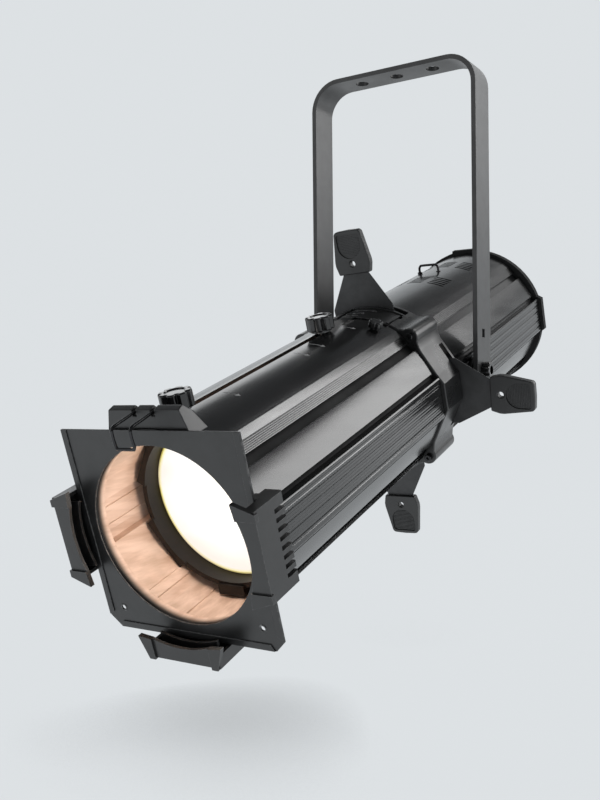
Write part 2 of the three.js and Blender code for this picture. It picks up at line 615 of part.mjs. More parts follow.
// Low wire hoop on top of the housing for a safety cable.
function safetyLoop() {
  const shell = HOUSING.scale * TUBE.radius;
  const { at, middle, half, rise, radius } = HOOP;
  const top = shell + rise;
  const leg = [[half, 60], [half, top - 4], [half - 1.2, top - 1.2], [half - 4, top]];
  const right = leg.map(([x, h]) => station(middle + x, at, h));
  const left = leg.map(([x, h]) => station(middle - x, at, h)).reverse();
  return cut(wire([...right, ...left], radius, false, 40), alongAxis(circle(shell + GAP), at - 9, at + 9));
}
add(lamp, 'safety_loop', safetyLoop(), LOOK.steel);

export default spotlight;
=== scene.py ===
# The looks of the ellipsoidal spotlight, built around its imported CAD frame.
#
# The row frame is in metres. Pieces of the lamp are drawn in its own millimetres first: u to the right,
# h above the optical axis and d in front of the tilt axis. LAMP then places them.
import json
import math

import bmesh
import bpy
from mathutils import Matrix, Vector
from mathutils.geometry import tessellate_polygon

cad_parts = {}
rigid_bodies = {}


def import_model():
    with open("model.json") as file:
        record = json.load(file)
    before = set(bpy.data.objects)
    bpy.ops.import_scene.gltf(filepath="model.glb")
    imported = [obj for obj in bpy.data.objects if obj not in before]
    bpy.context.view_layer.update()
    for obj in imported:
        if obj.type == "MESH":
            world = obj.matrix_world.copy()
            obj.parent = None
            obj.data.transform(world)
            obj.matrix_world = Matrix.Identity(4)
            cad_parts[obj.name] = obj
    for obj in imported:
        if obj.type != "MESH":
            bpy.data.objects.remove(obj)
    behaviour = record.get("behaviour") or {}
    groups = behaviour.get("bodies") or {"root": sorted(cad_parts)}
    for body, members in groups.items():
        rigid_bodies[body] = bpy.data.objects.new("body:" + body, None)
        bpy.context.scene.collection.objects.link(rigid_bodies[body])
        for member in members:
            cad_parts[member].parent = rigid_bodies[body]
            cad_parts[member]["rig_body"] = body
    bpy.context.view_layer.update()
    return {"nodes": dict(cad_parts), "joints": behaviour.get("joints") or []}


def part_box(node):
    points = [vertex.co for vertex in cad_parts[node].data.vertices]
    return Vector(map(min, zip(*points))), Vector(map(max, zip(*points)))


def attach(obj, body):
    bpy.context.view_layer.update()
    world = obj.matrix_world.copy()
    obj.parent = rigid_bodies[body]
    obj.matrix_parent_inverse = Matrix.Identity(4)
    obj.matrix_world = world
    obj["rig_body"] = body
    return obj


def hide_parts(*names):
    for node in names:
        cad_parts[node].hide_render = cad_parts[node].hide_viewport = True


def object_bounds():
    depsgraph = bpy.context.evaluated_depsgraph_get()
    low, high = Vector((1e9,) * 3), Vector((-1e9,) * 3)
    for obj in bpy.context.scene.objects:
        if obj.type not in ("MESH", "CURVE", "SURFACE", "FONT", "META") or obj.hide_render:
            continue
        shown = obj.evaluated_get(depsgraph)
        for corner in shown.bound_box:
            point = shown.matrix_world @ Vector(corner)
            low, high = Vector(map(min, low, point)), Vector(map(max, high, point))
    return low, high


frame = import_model()

# ---- the lamp's own axes, from the frame's joints ----
joints = {joint["name"]: joint for joint in frame["joints"]}
pivot = Vector(joints["tilt"]["pos_m"])
up = Vector(joints["colour_frame_lift"]["axis"]).normalized()
ahead = Vector(joints["zoom_travel"]["axis"]).normalized()
across = up.cross(ahead)
MM = 0.001
IN_METRES = Matrix.Scale(MM, 4)
LAMP = Matrix.Translation(pivot) @ Matrix((across, -ahead, up)).transposed().to_4x4() @ IN_METRES
TO_LAMP = LAMP.inverted()


# ---- camera ----
CAMERA_AT = (0.4230, -0.8431, -0.3302)
CAMERA_AZIMUTH, CAMERA_ELEVATION, CAMERA_ROLL = 32.8, 0.1, -0.53
CAMERA_LENS, SENSOR_WIDTH = 41.57, 36
CAMERA_CLIP = (0.01, 50)


def make_camera():
    azimuth, elevation, roll = map(math.radians, (CAMERA_AZIMUTH, CAMERA_ELEVATION, CAMERA_ROLL))
    sight = Vector((-math.sin(azimuth) * math.cos(elevation), math.cos(azimuth) * math.cos(elevation),
                    -math.sin(elevation)))
    right = sight.cross(Vector((0, 0, 1))).normalized()
    above = right.cross(sight)
    right, above = (math.cos(roll) * right + math.sin(roll) * above,
                    math.cos(roll) * above - math.sin(roll) * right)
    data = bpy.data.cameras.new("camera")
    data.lens = CAMERA_LENS
    data.sensor_width = SENSOR_WIDTH
    data.clip_start, data.clip_end = CAMERA_CLIP
    camera = bpy.data.objects.new("camera", data)
    camera.matrix_world = Matrix.Translation(CAMERA_AT) @ Matrix(
        (right, above, -sight)).transposed().to_4x4()
    bpy.context.scene.collection.objects.link(camera)
    bpy.context.scene.camera = camera


make_camera()
bpy.context.scene.view_settings.view_transform = "Standard"


SMOOTH_UNDER = math.radians(38)         # edges that bend less than this are shaded smooth
FLAT_UNDER = math.radians(0.2)          # faces that bend less than this are merged
CAD_FLAT_UNDER = math.radians(0.6)
CAD_EDGE_OVER = math.radians(28)        # CAD edges that bend more than this are rounded


# ---- outlines: lists of (u, v) in millimetres, anticlockwise ----
def arc(cx, cy, radius, start, end, steps):
    angles = [math.radians(start + (end - start) * i / steps) for i in range(steps + 1)]
    return [(cx + radius * math.cos(a), cy + radius * math.sin(a)) for a in angles]


def circle(radius, steps=96, cx=0.0, cy=0.0):
    return arc(cx, cy, radius, 0, 360, steps)[:-1]


def fillet(points, radius, steps=3):
    """Rounds the corners of a closed outline."""
    rounded = []
    for i, point in enumerate(points):
        p = Vector(point)
        before, after = Vector(points[i - 1]) - p, Vector(points[(i + 1) % len(points)]) - p
        turn = math.pi - before.angle(after) if before.length > 1e-6 and after.length > 1e-6 else 0
        reach = min(radius * math.tan(turn / 2), before.length * 0.45, after.length * 0.45)
        if turn < 0.15 or reach < 0.01:
            rounded.append(tuple(p))
            continue
        a, b = p + before.normalized() * reach, p + after.normalized() * reach
        for k in range(steps + 1):
            t = k / steps
            rounded.append(tuple(a * (1 - t) ** 2 + p * 2 * t * (1 - t) + b * t ** 2))
    return rounded


def inset(points, distance):
    """Moves a closed anticlockwise outline inwards."""
    moved = []
    for i, point in enumerate(points):
        p = Vector(point)
        a = (p - Vector(points[i - 1])).normalized()
        b = (Vector(points[(i + 1) % len(points)]) - p).normalized()
        na, nb = Vector((-a.y, a.x)), Vector((-b.y, b.x))
        middle = na + nb
        scale = distance / max(0.35, (1 + na.dot(nb)))
        moved.append(tuple(p + middle * scale))
    return moved


def mirrored(quarter):
    """A full outline from its upper right quarter, which runs from the side to the top."""
    left = [(-u, v) for u, v in reversed(quarter)]
    top = quarter + left
    outline = top + [(-u, -v) for u, v in top]
    return [p for i, p in enumerate(outline) if (Vector(p) - Vector(outline[i - 1])).length > 1e-4]


# ---- meshes ----
def prism(outline, low, high, holes=(), edge=0.4, steps=2):
    """A bmesh of an outline run from low to high, with rounded edges; holes are anticlockwise too."""
    bm = bmesh.new()
    loops = [(outline, 1)] + [(hole, -1) for hole in holes]
    sections = []
    for k in range(steps + 1):
        angle = math.pi / 2 * k / steps
        sections.append((edge * (1 - math.sin(angle)), low + edge * (1 - math.cos(angle))))
    sections += [(shrink, high + low - w) for shrink, w in reversed(sections)]
    if edge <= 0:
        sections = [(0, low), (0, high)]
    ends = {0: [], len(sections) - 1: []}
    for points, side in loops:
        rings = []
        for k, (shrink, w) in enumerate(sections):
            ring = [bm.verts.new((u, v, w)) for u, v in inset(points, side * shrink)]
            rings.append(ring)
            if k in ends:
                ends[k].append(ring)
        for one, two in zip(rings, rings[1:]):
            for i in range(len(points)):
                j = (i + 1) % len(points)
                quad = [one[i], one[j], two[j], two[i]]
                bm.faces.new(quad if side > 0 else quad[::-1])
    for k, rings in ends.items():
        flat = [vert for ring in rings for vert in ring]
        for triangle in tessellate_polygon([[Vector(v.co[:2]).to_3d() for v in ring] for ring in rings]):
            corners = [flat[i] for i in triangle]
            normal = (corners[1].co - corners[0].co).cross(corners[2].co - corners[0].co)
            if (normal.z > 0) != (k > 0):
                corners.reverse()
            if bm.faces.get(corners) is None and normal.length > 0:
                bm.faces.new(corners)
    bmesh.ops.dissolve_limit(bm, angle_limit=FLAT_UNDER, verts=bm.verts, edges=bm.edges)
    return bm


def lathe(profile, steps=96):
    """A bmesh of a closed (radius, w) profile turned about w; points on the axis are shared."""
    bm = bmesh.new()
    rings = []
    for r, w in profile:
        if r < 1e-6:
            rings.append([bm.verts.new((0, 0, w))] * steps)
        else:
            rings.append([bm.verts.new((u, v, w)) for u, v in circle(r, steps)])
    for i, one in enumerate(rings):
        two = rings[(i + 1) % len(rings)]
        for k in range(steps):
            n = (k + 1) % steps
            corners = []
            for vert in (one[k], one[n], two[n], two[k]):
                if vert not in corners:
                    corners.append(vert)
            if len(corners) > 2:
                bm.faces.new(corners)
    bmesh.ops.recalc_face_normals(bm, faces=bm.faces)
    return bm


def tube(points, radius, sides=14):
    """A round wire along points."""
    bm = bmesh.new()
    path = [Vector(p) for p in points]
    rings = []
    normal = None
    for i, p in enumerate(path):
        along = (path[min(i + 1, len(path) - 1)] - path[max(i - 1, 0)]).normalized()
        normal = along.orthogonal() if normal is None else normal - along * normal.dot(along)
        normal.normalize()
        side = along.cross(normal)
        rings.append([bm.verts.new(p + radius * (normal * math.cos(a) + side * math.sin(a)))
                      for a in (2 * math.pi * k / sides for k in range(sides))])
    for one, two in zip(rings, rings[1:]):
        for k in range(sides):
            bm.faces.new((one[k], one[(k + 1) % sides], two[(k + 1) % sides], two[k]))
    bm.faces.new(rings[0][::-1])
    bm.faces.new(rings[-1])
    bmesh.ops.recalc_face_normals(bm, faces=bm.faces)
    return bm


def smooth_path(points, per_span=5):
    """Points on a Catmull-Rom curve through the given ones."""
    p = [Vector(q) for q in points]
    p = [2 * p[0] - p[1], *p, 2 * p[-1] - p[-2]]
    path = []
    for i in range(1, len(p) - 2):
        for k in range(per_span):
            t = k / per_span
            a, b, c, d = p[i - 1:i + 3]
            path.append(0.5 * (2 * b + (c - a) * t + (2 * a - 5 * b + 4 * c - d) * t ** 2
                               + (3 * b - a - 3 * c + d) * t ** 3))
    return path + [p[-2]]


# Each of these turns a prism's own (u, v, w) into the lamp's (x, -d, h), where d points ahead.
ALONG = Matrix(((1, 0, 0, 0), (0, 0, -1, 0), (0, 1, 0, 0), (0, 0, 0, 1)))     # (x, h) outline, w = d
UPWARD = Matrix.Identity(4)                                                   # (x, -d) outline, w = h


def turned_by(degrees, at=(0, 0, 0)):
    """A turn about the optical axis, and then a move to (x, d, h)."""
    return Matrix.Translation((at[0], -at[1], at[2])) @ Matrix.Rotation(math.radians(degrees), 4, "Y")


def merged(*parts):
    """One bmesh of several."""
    whole = bmesh.new()
    for part in parts:
        mesh = bpy.data.meshes.new("part")
        part.to_mesh(mesh)
        part.free()
        whole.from_mesh(mesh)
        bpy.data.meshes.remove(mesh)
    return whole


def placed(bm, matrix):
    bm.transform(matrix)
    if matrix.determinant() < 0:
        bmesh.ops.reverse_faces(bm, faces=bm.faces)
    return bm


def to_object(name, bm):
    mesh = bpy.data.meshes.new(name)
    bm.to_mesh(mesh)
    bm.free()
    piece = bpy.data.objects.new(name, mesh)
    bpy.context.scene.collection.objects.link(piece)
    return piece


def carved(bm, *cutters):
    """The bmesh less the cutters, by Blender's exact boolean."""
    target, tool = to_object("carved", bm), to_object("cutter", merged(*cutters))
    modifier = target.modifiers.new("cut", "BOOLEAN")
    modifier.object = tool
    modifier.solver = "EXACT"
    modifier.use_self = True
    bpy.context.view_layer.update()
    done = bmesh.new()
    done.from_object(target, bpy.context.evaluated_depsgraph_get())
    for piece in (target, tool):
        mesh = piece.data
        bpy.data.objects.remove(piece)
        bpy.data.meshes.remove(mesh)
    bmesh.ops.dissolve_limit(done, angle_limit=FLAT_UNDER, verts=done.verts, edges=done.edges)
    return done


def piece_from(name, bm, body, look, stands_for=(), matrix=None, others=()):
    """Makes a shown piece: smooth shading with true flats, its material, its body and what it replaces.

    others holds (look, test) pairs for faces that differ: the last test that holds decides."""
    if matrix is not None:
        placed(bm, matrix)
    piece = to_object(name, bm)
    mesh = piece.data
    mesh.shade_smooth()
    mesh.set_sharp_from_angle(angle=SMOOTH_UNDER)
    weighted = piece.modifiers.new("flat_faces", "WEIGHTED_NORMAL")
    weighted.keep_sharp = True
    mesh.materials.append(look["material"])
    for index, (other, test) in enumerate(others, 1):
        mesh.materials.append(other["material"])
        for face in mesh.polygons:
            if test(face.center, face.normal):
                face.material_index = index
    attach(piece, body)
    if stands_for:
        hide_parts(*stands_for)
    return piece


def refined(node, look, width, segments=2):
    """Shows a copy of a CAD node with its flat faces merged and its edges rounded."""
    source = frame["nodes"][node]
    bm = bmesh.new()
    bm.from_mesh(source.data)
    bmesh.ops.remove_doubles(bm, verts=bm.verts, dist=2e-6)
    bmesh.ops.dissolve_limit(bm, angle_limit=CAD_FLAT_UNDER, verts=bm.verts, edges=bm.edges)
    edges = [e for e in bm.edges if len(e.link_faces) == 2 and e.calc_face_angle(0) > CAD_EDGE_OVER]
    bmesh.ops.bevel(bm, geom=edges, offset=width * MM, segments=segments, profile=0.5, affect="EDGES",
                    clamp_overlap=True)
    piece_from(f"{node}_shown", bm, source["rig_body"], look, (node,))


# ---- materials ----
class Nodes:
    """A material's node tree, with short calls to add to it."""

    def __init__(self, name):
        self.material = bpy.data.materials.new(name)
        self.material.use_nodes = True
        self.tree = self.material.node_tree
        self.shader = self.tree.nodes["Principled BSDF"]
        self.place = self.add("ShaderNodeTexCoord").outputs["Object"]

    def add(self, kind, inputs=(), **settings):
        node = self.tree.nodes.new(kind)
        for key, value in settings.items():
            setattr(node, key, value)
        for key, value in dict(inputs).items():
            if isinstance(value, bpy.types.NodeSocket):
                self.tree.links.new(value, node.inputs[key])
            else:
                node.inputs[key].default_value = value
        return node

    def noise(self, scale, detail=3.0, rough=0.55, stretch=None):
        place = self.place
        if stretch is not None:
            place = self.add("ShaderNodeMapping", {"Vector": place, "Scale": stretch}).outputs[0]
        return self.add("ShaderNodeTexNoise", {
            "Vector": place, "Scale": scale, "Detail": detail, "Roughness": rough}).outputs["Fac"]

    def span(self, value, low, high, start=0.3, stop=0.7):
        return self.add("ShaderNodeMapRange", {
            "Value": value, "From Min": start, "From Max": stop, "To Min": low, "To Max": high},
            interpolation_type="SMOOTHSTEP").outputs[0]

    def mix(self, share, one, two):
        node = self.add("ShaderNodeMix", data_type="RGBA")
        for key, value in ((0, share), (6, one), (7, two)):
            if isinstance(value, bpy.types.NodeSocket):
                self.tree.links.new(value, node.inputs[key])
            else:
                node.inputs[key].default_value = value
        return node.outputs[2]

    def math(self, operation, one, two=0.0):
        return self.add("ShaderNodeMath", {0: one, 1: two}, operation=operation).outputs[0]

    def bump(self, height, distance, strength):
        return self.add("ShaderNodeBump", {
            "Height": height, "Distance": distance, "Strength": strength}).outputs[0]

    def set(self, **sockets):
        for key, value in sockets.items():
            socket = self.shader.inputs[key.replace("_", " ")]
            if isinstance(value, bpy.types.NodeSocket):
                self.tree.links.new(value, socket)
            else:
                socket.default_value = value


def rgb(r, g, b):
    return (r, g, b, 1.0)


def coated(name, colour, roughness, grain_scale, grain_depth, wear_and_highlight_share=0.35, metallic=0.0, specular=0.85,
           wear_and_highlight_colour=(0.2, 0.2, 0.205), edge=0.0006, smudged=0.05, stretch=(1.0, 1.0, 1.0)):
    """Paint or moulded plastic: mottled tone, smudged gloss, fine grain, and edges lightened partly as
    scuffed paint and partly as painted highlight.
    """
    n = Nodes(name)
    smudge = n.noise(28.0, 5.0, 0.6, stretch=stretch)
    fine = n.noise(grain_scale, 2.0)
    tone = n.mix(n.span(n.noise(90.0, 4.0), 0.0, 1.0), rgb(*(c * 0.82 for c in colour)),
                 rgb(*(c * 1.22 for c in colour)))
    near_edge = n.add("ShaderNodeAmbientOcclusion", {"Distance": edge}, samples=4,
                      inside=True).outputs["AO"]
    # Lighter colour along edges: partly scuffed paint, partly painted highlight on the bevels.
    wear_and_highlight_mask = n.math("MULTIPLY", n.span(near_edge, 1.0, 0.0, 0.35, 0.85),
                    n.span(n.noise(260.0, 4.0), 0.0, wear_and_highlight_share, 0.42, 0.62))
    n.set(Base_Color=n.mix(wear_and_highlight_mask, tone, rgb(*wear_and_highlight_colour)), Metallic=metallic, Specular_IOR_Level=specular,
          Roughness=n.span(smudge, roughness - smudged, roughness + smudged),
          Normal=n.bump(fine, grain_depth, 0.6))
    return n.material


def metal(name, colour, roughness, brushed=(1.0, 1.0, 1.0)):
    """Bare metal with fine lines, stretched where it is brushed."""
    n = Nodes(name)
    lines = n.noise(900.0, 3.0, 0.6, stretch=brushed)
    tone = n.mix(n.span(n.noise(70.0, 5.0), 0.0, 1.0), rgb(*(c * 0.85 for c in colour)), rgb(*colour))
    n.set(Base_Color=tone, Metallic=1.0, Roughness=n.span(lines, roughness - 0.07, roughness + 0.1),
          Normal=n.bump(lines, 0.00002, 0.5))
    return n.material


def lens_material():
    """Glass lit from behind by the lamp: white, warmer and yellower at the rim."""
    n = Nodes("lit_lens")
    rim = n.add("ShaderNodeAttribute", attribute_name="rim").outputs["Fac"]
    ramp = n.add("ShaderNodeValToRGB", {"Fac": rim})
    stops = ((0.0, (1.0, 0.995, 0.98)), (0.7, (1.0, 0.985, 0.96)), (0.93, (1.0, 0.965, 0.91)),
             (0.968, (0.95, 0.86, 0.42)), (0.985, (0.5, 0.42, 0.03)), (1.0, (0.10, 0.06, 0.01)))
    bar = ramp.color_ramp
    while len(bar.elements) < len(stops):
        bar.elements.new(0.5)
    for element, (at, colour) in zip(bar.elements, stops):
        element.position = at
        element.color = rgb(*colour)
    streak = n.span(n.noise(15.0, 3.0, 0.5, stretch=(0.5, 1.0, 1.7)), 0.55, 1.0, 0.3, 0.5)
    lit = n.mix(streak, rgb(0.93, 0.78, 0.66), ramp.outputs[0])
    n.set(Base_Color=rgb(0.2, 0.2, 0.2), Roughness=n.span(n.noise(60.0), 0.03, 0.07),
          Emission_Color=lit, Emission_Strength=1.0, Coat_Weight=0.4, Coat_Roughness=0.03)
    return n.material


def glass_material():
    """Clear glass, very slightly clouded."""
    n = Nodes("condenser_glass")
    n.set(Base_Color=n.mix(n.noise(40.0), rgb(0.9, 0.95, 0.97), rgb(0.97, 0.99, 1.0)), IOR=1.5,
          Roughness=n.span(n.noise(80.0), 0.02, 0.06), Transmission_Weight=0.85)
    return n.material


def axial(n, rear, front):
    """0 at station rear, 1 at station front, in the lamp's own millimetres."""
    along = n.add("ShaderNodeVectorMath", {0: n.place, 1: tuple(ahead)},
                  operation="DOT_PRODUCT").outputs["Value"]
    base = pivot.dot(ahead)
    return n.span(along, 0.0, 1.0, base + rear * MM, base + front * MM)


# Painted shade, over black paint at the lip, darkens the bare wall to near black between these stations.
MOUTH_SHADE_STATIONS = (364.5, 371.0)      # the stations between which the bare wall turns black


def inner_wall_material():
    """The bare, warm inside of the extruded tube, streaked along its length and darkened to near black
    towards its mouth: black paint at the lip, with painted shade fading in behind it.
    """
    n = Nodes("inner_wall")
    streak = n.noise(120.0, 4.0, 0.6, stretch=(1.0, 0.06, 1.0))
    cloud = n.noise(15.0, 3.0, 0.5)
    tone = n.mix(n.span(streak, 0.0, 1.0), rgb(0.58, 0.40, 0.30), rgb(0.80, 0.61, 0.50))
    tone = n.mix(n.span(cloud, 0.0, 0.5, 0.5, 0.75), tone, rgb(0.30, 0.22, 0.15))
    # Painted shade, with black paint at the lip: the wall fades to near black towards the mouth.
    tone = n.mix(axial(n, *MOUTH_SHADE_STATIONS), tone, rgb(0.010, 0.008, 0.007))
    n.set(Base_Color=tone, Metallic=0.1, Roughness=n.span(streak, 0.4, 0.55),
          Normal=n.bump(streak, 0.00008, 0.5))
    return n.material


def ink_material():
    """Pale grey screen print, thin in places."""
    n = Nodes("pale_index_ink")
    thin = n.span(n.noise(900.0, 3.0), 0.0, 1.0)
    n.set(Base_Color=n.mix(thin, rgb(0.42, 0.42, 0.42), rgb(0.75, 0.75, 0.75)),
          Roughness=n.span(thin, 0.65, 0.5), Normal=n.bump(thin, 0.00001, 0.4))
    return n.material


def board_material():
    """Green solder mask with a grid of tracks."""
    n = Nodes("circuit_board")
    tracks = n.add("ShaderNodeTexBrick", {
        "Vector": n.place, "Scale": 260.0, "Mortar Size": 0.03}).outputs["Fac"]
    n.set(Base_Color=n.mix(n.span(tracks, 0.0, 0.6), rgb(0.02, 0.12, 0.05), rgb(0.3, 0.25, 0.1)),
          Roughness=n.span(n.noise(150.0), 0.35, 0.5), Normal=n.bump(tracks, 0.0001, 0.4))
    return n.material


def emitter_material():
    """Rows of phosphor-covered LED dies."""
    n = Nodes("led_dies")
    cells = n.add("ShaderNodeTexVoronoi", {"Vector": n.place, "Scale": 420.0, "Randomness": 0.0})
    spot = n.span(cells.outputs["Distance"], 1.0, 0.0, 0.2, 0.5)
    n.set(Base_Color=n.mix(spot, rgb(0.8, 0.78, 0.7), rgb(1.0, 0.72, 0.2)),
          Roughness=n.span(spot, 0.6, 0.35), Emission_Color=rgb(1.0, 0.8, 0.5), Emission_Strength=0.6,
          Normal=n.bump(spot, 0.0002, 0.5))
    return n.material


def display_material():
    """Dark glass over faint upright lines."""
    n = Nodes("display_glass")
    wave = n.add("ShaderNodeTexWave", {"Vector": n.place, "Scale": 420.0},
                 bands_direction="X").outputs["Fac"]
    n.set(Base_Color=n.mix(wave, rgb(0.004, 0.006, 0.009), rgb(0.010, 0.016, 0.02)),
          Roughness=n.span(n.noise(70.0), 0.06, 0.14), Coat_Weight=0.5)
    return n.material


def look(slot, material):
    return {"slot": slot, "material": material}


# The lighter edge colour and share given to each look are partly scuffed paint and partly painted highlight
# along its edges.
CASING = look("casing", coated("satin_black_casing", (0.011, 0.0112, 0.0115), 0.30, 1500.0, 0.00003,
                               wear_and_highlight_share=0.55))
TUBE = look("casing", coated("extruded_black_tube", (0.0105, 0.0107, 0.011), 0.19, 1300.0, 0.000012,
                             wear_and_highlight_share=0.0, specular=1.0, edge=0.0003, smudged=0.02, stretch=(3.0, 0.1, 3.0)))
# The gel frame's pale edges are partly scuffed paint and partly painted highlight.
SHEET = look("sheet", coated("black_sheet_metal", (0.015, 0.0152, 0.0156), 0.36, 1700.0, 0.00003, wear_and_highlight_share=0.7,
                               wear_and_highlight_colour=(0.3, 0.3, 0.3), edge=0.0009))
YOKE = look("yoke", coated("grey_black_yoke_coat", (0.030, 0.0302, 0.0305), 0.38, 1200.0, 0.00005, wear_and_highlight_share=0.5,
                           wear_and_highlight_colour=(0.26, 0.26, 0.26), specular=1.0))
PLASTIC = look("plastic", coated("moulded_black_plastic", (0.0115, 0.0115, 0.0118), 0.34, 2600.0, 0.00004,
                                 wear_and_highlight_share=0.6, wear_and_highlight_colour=(0.22, 0.22, 0.22), edge=0.0009))
GRIP = look("plastic", coated("grip_plastic", (0.0095, 0.0095, 0.0098), 0.42, 2600.0, 0.00004, wear_and_highlight_share=0.15,
                              wear_and_highlight_colour=(0.12, 0.12, 0.12)))
KNOB = look("plastic", coated("gloss_black_knob", (0.006, 0.006, 0.0063), 0.16, 2200.0, 0.00002, wear_and_highlight_share=0.8,
                              wear_and_highlight_colour=(0.4, 0.4, 0.4), edge=0.0008))
BROWN = look("plastic", coated("lens_carrier_plastic", (0.0060, 0.0038, 0.0026), 0.5, 1800.0, 0.00004,
                               wear_and_highlight_share=0.3, wear_and_highlight_colour=(0.04, 0.022, 0.014), specular=0.3))
RUBBER = look("rubber", coated("matt_rubber", (0.012, 0.012, 0.012), 0.75, 3000.0, 0.00004, wear_and_highlight_share=0.1,
                               specular=0.4))
BLADE = look("blade", coated("blackened_shutter_steel", (0.042, 0.042, 0.043), 0.45, 900.0, 0.00002,
                             wear_and_highlight_share=0.35, metallic=0.35, wear_and_highlight_colour=(0.3, 0.29, 0.28)))
BLACK_STEEL = look("steel", coated("black_oxide_steel", (0.05, 0.05, 0.052), 0.16, 1500.0, 0.00001, wear_and_highlight_share=0.5,
                                   metallic=0.9, wear_and_highlight_colour=(0.4, 0.4, 0.4), edge=0.0004))
STEEL = look("steel", metal("zinc_plated_steel", (0.62, 0.62, 0.6), 0.32))
ALUMINIUM = look("aluminium", metal("bare_aluminium", (0.78, 0.79, 0.8), 0.34, brushed=(1.0, 0.1, 1.0)))
BRASS = look("steel", metal("gold_contact", (0.85, 0.65, 0.3), 0.28))
LENS = look("glass", lens_material())
CLEAR = look("glass", glass_material())
INNER = look("casing", inner_wall_material())
BOARD = look("board", board_material())
EMITTER = look("emitter", emitter_material())
DISPLAY = look("display", display_material())
# The cover's pale rim is partly scuffed paint and partly painted highlight.
COVER = look("casing", coated("cover_plastic", (0.009, 0.009, 0.0093), 0.34, 2000.0, 0.00002, wear_and_highlight_share=1.0,
                              wear_and_highlight_colour=(0.35, 0.35, 0.35), edge=0.0009))
# Near-black, less glossy paint in the tube's channels: painted shade in these recesses.
CHANNEL_PAINTED_SHADE = look("casing", coated("channel_painted_shade", (0.004, 0.004, 0.0041), 0.6, 1300.0, 0.00002, wear_and_highlight_share=0.0,
                               specular=0.25))
MARK = look("casing", ink_material())
PRINT = look("rubber", coated("soft_grey_key", (0.06, 0.06, 0.062), 0.6, 2500.0, 0.00003, wear_and_highlight_share=0.2))

# ---- the lens tube and the rear housing ----
TUBE_RADIUS = 79.0
SIDE_X = 81.0                                           # half the width over the ribbed sides
PANEL_RIDGES = (0.12, 0.4, 0.12, 0.12, 0.3, 0.5, 0.12)  # groove depths, from the middle up
TUBE_REAR, TUBE_FRONT = 80.6, 363.0
HOUSING_REAR, HOUSING_FRONT = -212, 33.9
HOUSING_SCALE = 0.985
HOUSING_RIDGES = (0.15, 0.7, 0.2, 0.7, 0.15)


def ridged(start, end, depths):
    """Points from start to end with one groove of each depth, to the left of the way they run."""
    a, b = Vector(start), Vector(end)
    step = (b - a) / len(depths)
    sunk = Vector((-step.y, step.x)).normalized()
    points = [tuple(a)]
    for i, depth in enumerate(depths):
        foot = a + step * i
        for t, low in ((0.22, 0), (0.4, 1), (0.62, 1), (0.8, 0)):
            points.append(tuple(foot + step * t + sunk * depth * low))
    return points + [tuple(b)]


def toothed(start, end, count, lit_angle, share, depth):
    """Points from start to end: narrow lands that face lit_angle degrees up, with deep grooves between."""
    a, b = Vector(start), Vector(end)
    step = (b - a) / count
    lit = math.radians(lit_angle)
    land = Vector((-math.sin(lit), math.cos(lit))) * step.length * share
    sunk = Vector((-step.y, step.x)).normalized() * depth
    points = []
    for i in range(count):
        foot = a + step * i
        points += [tuple(foot), tuple(foot + land), tuple(foot + land + sunk),
                   tuple(foot + step * 0.92 + sunk)]
    return points + [tuple(b)]


def bowed(start, end, rise, steps=6):
    """A very slightly crowned flat, raised to the right of the way it runs."""
    a, b = Vector(start), Vector(end)
    out = Vector(((b - a).y, -(b - a).x)).normalized() * rise
    return [tuple(a.lerp(b, i / steps) + out * math.sin(math.pi * i / steps)) for i in range(steps + 1)]


def section_quarter(scale=1.0, ridges=PANEL_RIDGES):
    """From the ribbed side, over the notch, the broad flat, the corner channel and the narrow flat."""
    points = ridged((SIDE_X, 0.0), (SIDE_X, 17.2), ridges)
    points += [(SIDE_X, 17.8), (SIDE_X - 0.75, 18.78), (75.9, 18.6), (74.2, 19.1), (73.8, 20.6), (73.9, 22.2)]
    points += bowed((75.2, 23.3), (63.0, 45.0), 0.42)
    points += [(62.5, 45.6), (62.2, 45.6), (60.0, 43.4), (54.4, 49.6), (56.5, 51.6)]
    points += toothed((57.0, 51.9), (51.9, 59.2), 6, 47.0, 0.26, 0.8)
    points += [(51.6, 59.6), (46.2, 64.15), (45.6, 64.5)]
    points += arc(0, 0, TUBE_RADIUS, 54.4, 90, 24)[1:]
    return [(u * scale, v * scale) for u, v in points]


def railed(start, end, height):
    """Points from start to end with a low rail about three quarters of the way, raised to the left."""
    a, b = Vector(start), Vector(end)
    proud = Vector((-(b - a).y, (b - a).x)).normalized() * height
    return [tuple(a), tuple(a.lerp(b, 0.62)), tuple(a.lerp(b, 0.64) + proud), tuple(a.lerp(b, 0.8) + proud),
            tuple(a.lerp(b, 0.82)), tuple(b)]


BORE_QUARTER = [(77.3, 0), (77.3, 4.0), (76.4, 4.5), (76.4, 9.0), (77.3, 9.6), (77.6, 16.2), (71.5, 17.2),
                (71.0, 21.4)]
BORE_QUARTER += railed((66.9, 32), (35.6, 67), 1.0)
BORE_QUARTER += arc(0, 0, 75.8, 62.5, 68, 3) + arc(0, 0, 75.0, 68.4, 74.6, 3) + arc(0, 0, 75.8, 75, 90, 8)


def is_inside(reach):
    """True of faces on the inner wall: those that look to the optical axis, and the steps at its sides."""
    def test(centre, normal):
        local = TO_LAMP @ centre
        facing = (TO_LAMP.to_3x3() @ normal).normalized()
        radial = Vector((local.x, 0, local.z))
        outward = facing.dot(radial.normalized())
        is_step = abs(local.z) < 17.5 and abs(facing.y) < 0.5 and outward < 0.5
        return radial.length < reach and (outward < -0.2 or is_step)
    return test


# The channels that get painted shade, as (least, most degrees from the side; least, most millimetres from the
# optical axis).
CHANNELS = ((35.8, 42.2, 72.6, 76.6), (14.0, 17.2, 75.6, 78.3))


